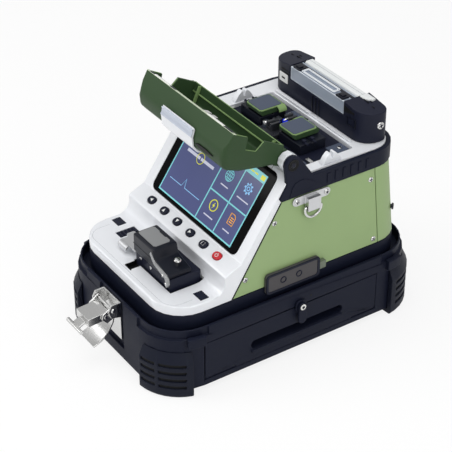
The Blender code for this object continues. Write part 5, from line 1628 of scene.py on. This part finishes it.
@dataclass
class Heater:
    """The tube heater across the back."""

    front: float = 0.0655
    half: float = 0.0575
    trough: float = 0.0328
    lid_z: float = 0.1712
    end_top: float = 0.172
    end_fall: float = 0.0035
    end_past: float = 0.002
    lid_half: float = 0.0321

    def housing(self, bench: Bench) -> None:
        """The dark housing with its front ribs and plates, with painted shade in its front grooves and end
        slots.

        Args:
            bench: where pieces are made.
        """
        form = bench.copy("heater_housing")
        bench.piece("heater_shell", form.soft(0.0005), DARK_AND_SHADE, BASE, ("heater_housing",))
        # Black strips on the front where its grooves are, standing for the shade in them: painted shade.
        y0, y1 = self.front - 0.0002, self.front + 0.0004
        front_groove_shade = Form.slab(
            [(0.0336, 0.1694), (0.0336, 0.1638), (0.0452, 0.1661), (0.0452, 0.1673)], y0, y1, Axis.Y
        )
        for z in (0.1626, 0.1650):
            front_groove_shade.adding(Form.block((-0.0436, y0, z), (-0.0336, y1, z + 0.0013)))
        bench.piece("heater_groove_shade", front_groove_shade, BLACK_AND_SHADE)
        ribs = Form()
        for x in (-0.004, 0.0, 0.004):
            ribs.adding(Form.bar((x, self.front, 0.1462), (x, self.front, 0.1598), 0.0007, sides=12))
        frame = Form.block((0.0374, self.front - 0.0004, 0.1555), (0.0472, self.front + 0.0005, 0.1625))
        frame.cut(Form.block((0.0382, self.front - 0.001, 0.1563), (0.0464, self.front + 0.001, 0.1617)))
        ribs.adding(frame)
        bench.piece("heater_ribs", ribs, SATIN_BLACK)
        plate = Form.slab(
            rounded((-0.0455, 0.1548), (-0.0352, 0.1622), 0.0006, 3), self.front - 0.0005,
            self.front + 0.001, Axis.Y
        )
        bench.piece("heater_plate", plate.soft(0.0002), WHITE)
        # A black mark printed on the white plate.
        print_and_slot_shade = Form.block((-0.0424, self.front - 0.0006, 0.1578), (-0.0384, self.front, 0.1592))
        # Black patches over the slots in the end blocks' tops, standing for the shade in them: painted
        # shade.
        for side in (-1, 1):
            for x, y, reach in (
                (0.0400, 0.0797, 0.0035), (0.0425, 0.0825, 0.0014), (0.0490, 0.0797, 0.0014)
            ):
                slope = self.end_fall / (self.half + self.end_past - self.trough)
                top = self.end_top - (x - self.trough) * slope
                low, high = (x - reach, y - 0.0004, top - 0.001), (x + reach, y + 0.0004, top + 0.0003)
                print_and_slot_shade.adding(Form.block(low, high).mirrored(side))
        bench.piece("heater_print_and_slot_shade", print_and_slot_shade, BLACK_AND_SHADE)

    def lid(self, bench: Bench) -> None:
        """The clear lid with its raised pocket, painted highlights along its edges, dark band and two black
        clamps.

        Args:
            bench: where pieces are made.
        """
        body = bench.body("heater_lid")
        bench.skin("heater_lid", CLEAR, 0.0003)
        z, front = self.lid_z, self.front + 0.0003
        lip, half = front + 0.0006, self.lid_half
        ends = ((-half, 0.1609), (-half, z - 0.0004), (half, z - 0.0004), (half, 0.1609))
        # Near-white tubes along the lid's edges and the pocket's rims stand for the light on them: painted
        # highlight.
        edges = Form.tube([(x, lip, height) for x, height in ends], 0.0005, 8)
        edges.adding(Form.tube([(-half, lip, 0.1611), (half, lip, 0.1611)], 0.0004, 8))
        outline = rounded((-0.0195, front + 0.0006), (0.0195, front + 0.0070), 0.0012, 4)
        opening = rounded((-0.0183, front + 0.0016), (0.0183, front + 0.0060), 0.0009, 4)
        rise = z + 0.0017
        walls = Form.slab(outline, z - 0.0002, rise).cut(Form.slab(opening, z - 0.001, rise + 0.001))
        bench.piece("lid_pocket", walls, CLEAR, body)
        for line in (outline, opening):
            edges.adding(Form.tube([(x, y, rise) for x, y in line], 0.0003, 8, True))
        bench.piece("lid_edges", edges, LID_HIGHLIGHT, body)
        clamps = Form()
        for x in (-0.0262, 0.0262):
            foot = Form.block(
                (x - 0.0042, front + 0.0004, z - 0.0022), (x + 0.0042, front + 0.0066, z + 0.0014)
            )
            clamps.adding(foot.soft(0.0004))
            grip = Form.block((x - 0.0024, front + 0.0018, z), (x + 0.0024, front + 0.0056, z + 0.0024))
            clamps.adding(grip.soft(0.0004))
        bench.piece("lid_clamps", clamps, SATIN_BLACK, body)
        band = Form.block((-0.0322, 0.0732, z - 0.0004), (0.0322, 0.0757, z + 0.0004))
        bench.piece("lid_band", band.soft(0.0002), SATIN_BLACK, body)

    def build(self, bench: Bench) -> None:
        """Make the heater's pieces.

        Args:
            bench: where pieces are made.
        """
        self.housing(bench)
        self.lid(bench)
        bench.skin("heater_tray", SATIN, 0.0003)
        bench.skin("heater_top_cover", PALE, 0.0008, 3)
        # The crease is a grey strip that stands for the shade along it: painted shade.
        crease = Form.block((-0.0322, 0.0826, 0.1718), (0.0322, 0.08285, 0.17206))
        bench.piece("cover_crease_shade", crease, SHADE_LINE)
        ends = Form.slab(
            [
                (0.0330, 0.0792), (0.0370, 0.0796), (0.0408, 0.0812), (0.0430, 0.0838), (0.0430, 0.0866),
                (0.0330, 0.0868)
            ],
            0.1700, 0.1722,
        )
        bench.piece("cover_end", ends.soft(0.0005), PALE)
        screw = [((self.half - 0.0002, 0.0800, 0.1590), (1.0, 0.0, 0.0))]
        bench.screws("heater_screws", BASE, Screw(0.003, 0.0016), screw)


@dataclass
class Cleaver:
    """The fibre cleaver stowed in the deck."""

    top_z: float = 0.095
    front_y: float = -0.0902
    guide_z: float = 0.0766
    guide_top: float = 0.0777
    lip: Flat = (-0.0886, 0.0744)

    def build(self, bench: Bench) -> None:
        """Make the cleaver's pieces.

        Args:
            bench: where pieces are made.
        """
        arm = bench.body("cleaver_arm")
        bench.skin("cleaver_body", DARK_AND_SHADE, 0.0008, 3)
        bench.skin("cleaver_arm", SATIN_BLACK, 0.0012, 4)
        plate = [
            (-0.0030, -0.0872), (0.0172, -0.0872), (0.0186, -0.0858), (0.0186, -0.0748),
            (0.0172, -0.0734), (0.0128, -0.0734), (0.0118, -0.0742), (0.0042, -0.0742),
            (0.0032, -0.0734), (-0.0030, -0.0734), (-0.0042, -0.0746), (-0.0042, -0.0860),
        ]
        bench.piece(
            "cleaver_plate", Form.slab(plate, self.top_z - 0.0003, self.top_z + 0.0003).soft(0.0001),
            GREY_PLATE, arm
        )
        seams = Form.tube([(-0.006, self.front_y, 0.0868), (0.0228, self.front_y, 0.0868)], 0.00022, 6)
        bench.piece("cleaver_seams", seams, BLACK_AND_SHADE, arm)
        lever = [
            (0.0190, 0.0925), (0.0235, 0.0866), (0.0385, 0.0836), (0.0412, 0.0816), (0.0418, 0.0770),
            (0.0402, 0.0742), (0.0385, 0.0742), (0.0394, 0.0772), (0.0376, 0.0808), (0.0230, 0.0848),
            (0.0182, 0.0910),
        ]
        side = Form.slab(lever, self.front_y - 0.0012, self.front_y + 0.001, Axis.Y).soft(0.0004)
        bench.piece("cleaver_lever", side, GREY_PLATE, arm)
        tilt = (0.2, 0.0, 0.98)
        knob = Form.spun(
            [
                (0.0, -0.001), (0.0013, -0.001), (0.0013, 0.0032), (0.0026, 0.0034), (0.0027, 0.0046),
                (0.002, 0.0056), (0.0, 0.006)
            ]
        )
        bench.piece("cleaver_knob", knob.aimed((0.0325, -0.0775, 0.0845), tilt), STEEL, arm)
        face = self.front_y - 0.0012
        places = [((x, face, z), (0.0, -1.0, 0.0)) for x, z in ((0.0352, 0.0822), (0.0393, 0.0772))]
        bench.screws("cleaver_lever_screws", arm, Screw(0.0012, 0.0006), places)
        fixed = [((x, -0.0884, z), (0.0, -1.0, 0.0)) for x, z in ((0.0145, 0.0755), (0.001, 0.0758))]
        bench.screws("cleaver_body_screws", bench.body("cleaver_body"), Screw(0.0014, 0.0007), fixed)
        self.guide(bench)

    def guide(self, bench: Bench) -> None:
        """The bent guide plate beside the cleaver, with its rolled front lip.

        Args:
            bench: where pieces are made.
        """
        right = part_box("cleaver_guide_plate")[1][0]
        outline = [
            (right, -0.0886), (right, -0.0752), (-0.0290, -0.0752), (-0.0300, -0.0762), (-0.0300, -0.0812),
            (-0.0292, -0.0822), (-0.0268, -0.0826), (-0.0262, -0.0834), (-0.0262, -0.0886),
        ]
        plate = Form.slab(outline, self.guide_z, self.guide_top).soft(0.0003)
        lip = arc(self.lip, 0.0033, 90, 205, 12) + arc(self.lip, 0.0022, 205, 90, 12)
        plate.adding(Form.slab(lip, -0.0262, -0.0150, Axis.X).soft(0.0002, angle=60.0))
        bench.piece(
            "guide_plate", plate, SATIN, bench.body("cleaver_guide_plate"), ("cleaver_guide_plate",)
        )


@dataclass
class Studio:
    """Camera, lamps, floor and background."""

    azimuth: float = 56.2
    elevation: float = 33.72
    stand: Point = (0.7911, -0.54368, 0.7110)
    focal: float = 1543.0
    sensor: float = 36.0
    floor_half: float = 6.0
    floor_gap: float = 0.0002
    floor_grey: float = 0.93
    floor_lift: float = 1.64
    room_glossy: float = 0.4
    room_gain: float = 0.5
    room_base: float = 0.5
    aim_z: float = 0.09
    lamps: tuple[tuple[str, Point, float, float], ...] = (
        ("overhead", (0.1, -0.15, 1.5), 1.2, 9.4),
        ("key", (-0.55, -1.0, 0.9), 0.9, 7.0),
        ("side", (1.2, -0.1, 0.8), 0.9, 5.8),
    )

    def camera(self, bench: Bench) -> None:
        """Stand the camera where the photograph was taken.

        Args:
            bench: where pieces are made.
        """
        turn, lift = math.radians(self.azimuth), math.radians(self.elevation)
        back = Vector((math.sin(turn) * math.cos(lift), -math.cos(turn) * math.cos(lift), math.sin(lift)))
        data = bpy.data.cameras.new("camera")
        data.sensor_width = self.sensor
        data.lens = self.focal / PICTURE * self.sensor
        data.clip_start = 0.01
        made = placed("camera", data)
        made.location = Vector(self.stand) + bench.shift
        made.rotation_euler = (-back).to_track_quat("-Z", "Y").to_euler()
        bpy.context.scene.camera = made

    def lamp(self, name: str, place: Point, size: float, power: float) -> None:
        """A square soft lamp aimed at the middle of the object.

        Args:
            name: its name.
            place: where it hangs.
            size: length of its sides.
            power: watts.
        """
        data = bpy.data.lights.new(name, "AREA")
        data.size = size
        data.energy = power
        made = placed(name, data)
        made.location = place
        way = Vector((0.0, 0.0, self.aim_z)) - Vector(place)
        made.rotation_euler = way.to_track_quat("-Z", "Y").to_euler()

    def world(self) -> None:
        """A soft grey room that looks white to the eye and in reflections."""
        world = bpy.data.worlds.new("room")
        bpy.context.scene.world = world
        graph = Graph(world)
        path = graph.node("ShaderNodeLightPath")
        camera, through, glossy = (
            Term(graph, path.outputs[f"Is {name} Ray"]) for name in ("Camera", "Transmission", "Glossy")
        )
        seen = camera.peak(through).peak(glossy * self.room_glossy)
        strength = seen * self.room_gain + self.room_base
        glow = graph.term("ShaderNodeBackground", 0, None, {"Strength": strength})
        graph.close(glow, "ShaderNodeOutputWorld")

    def floor(self) -> None:
        """A wide pale floor that keeps the object's shadow."""
        form = Form()
        bmesh.ops.create_grid(form.mesh, x_segments=1, y_segments=1, size=self.floor_half)
        data = bpy.data.meshes.new("floor")
        form.mesh.to_mesh(data)
        form.mesh.free()
        made = placed("floor", data)
        made.location.z = -self.floor_gap
        graph = Graph(bpy.data.materials.new("pale_floor"))
        path = graph.node("ShaderNodeLightPath")
        camera, glossy = (Term(graph, path.outputs[name]) for name in ("Is Camera Ray", "Is Glossy Ray"))
        seen = camera * self.floor_lift + glossy
        matt = graph.term("ShaderNodeBsdfDiffuse", 0, None, {"Color": (*[self.floor_grey] * 3, 1.0)})
        white = graph.term("ShaderNodeEmission", 0, None, {"Color": (1.0, 1.0, 1.0, 1.0), "Strength": 1.0})
        data.materials.append(
            graph.close(graph.term("ShaderNodeMixShader", 0, None, {0: seen * 0.5, 1: matt, 2: white}))
        )

    def build(self, bench: Bench) -> None:
        """Set up the studio.

        Args:
            bench: where pieces are made.
        """
        bpy.context.scene.view_settings.view_transform = "Standard"
        self.camera(bench)
        for name, place, size, power in self.lamps:
            self.lamp(name, place, size, power)
        self.world()
        self.floor()


def main() -> None:
    """Load the frame, dress every piece and set up the studio."""
    logging.basicConfig(level=logging.INFO, format="%(name)s %(message)s")
    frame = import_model()
    bench = Bench(frame)
    parts = (
        CarryTray(), DrawLatch(), Body(), Display(), Keypad(),
        WindCover(), Stage(), Heater(), Cleaver(), Studio(),
    )
    for part in parts:
        part.build(bench)


if __name__ == "__main__":
    main()
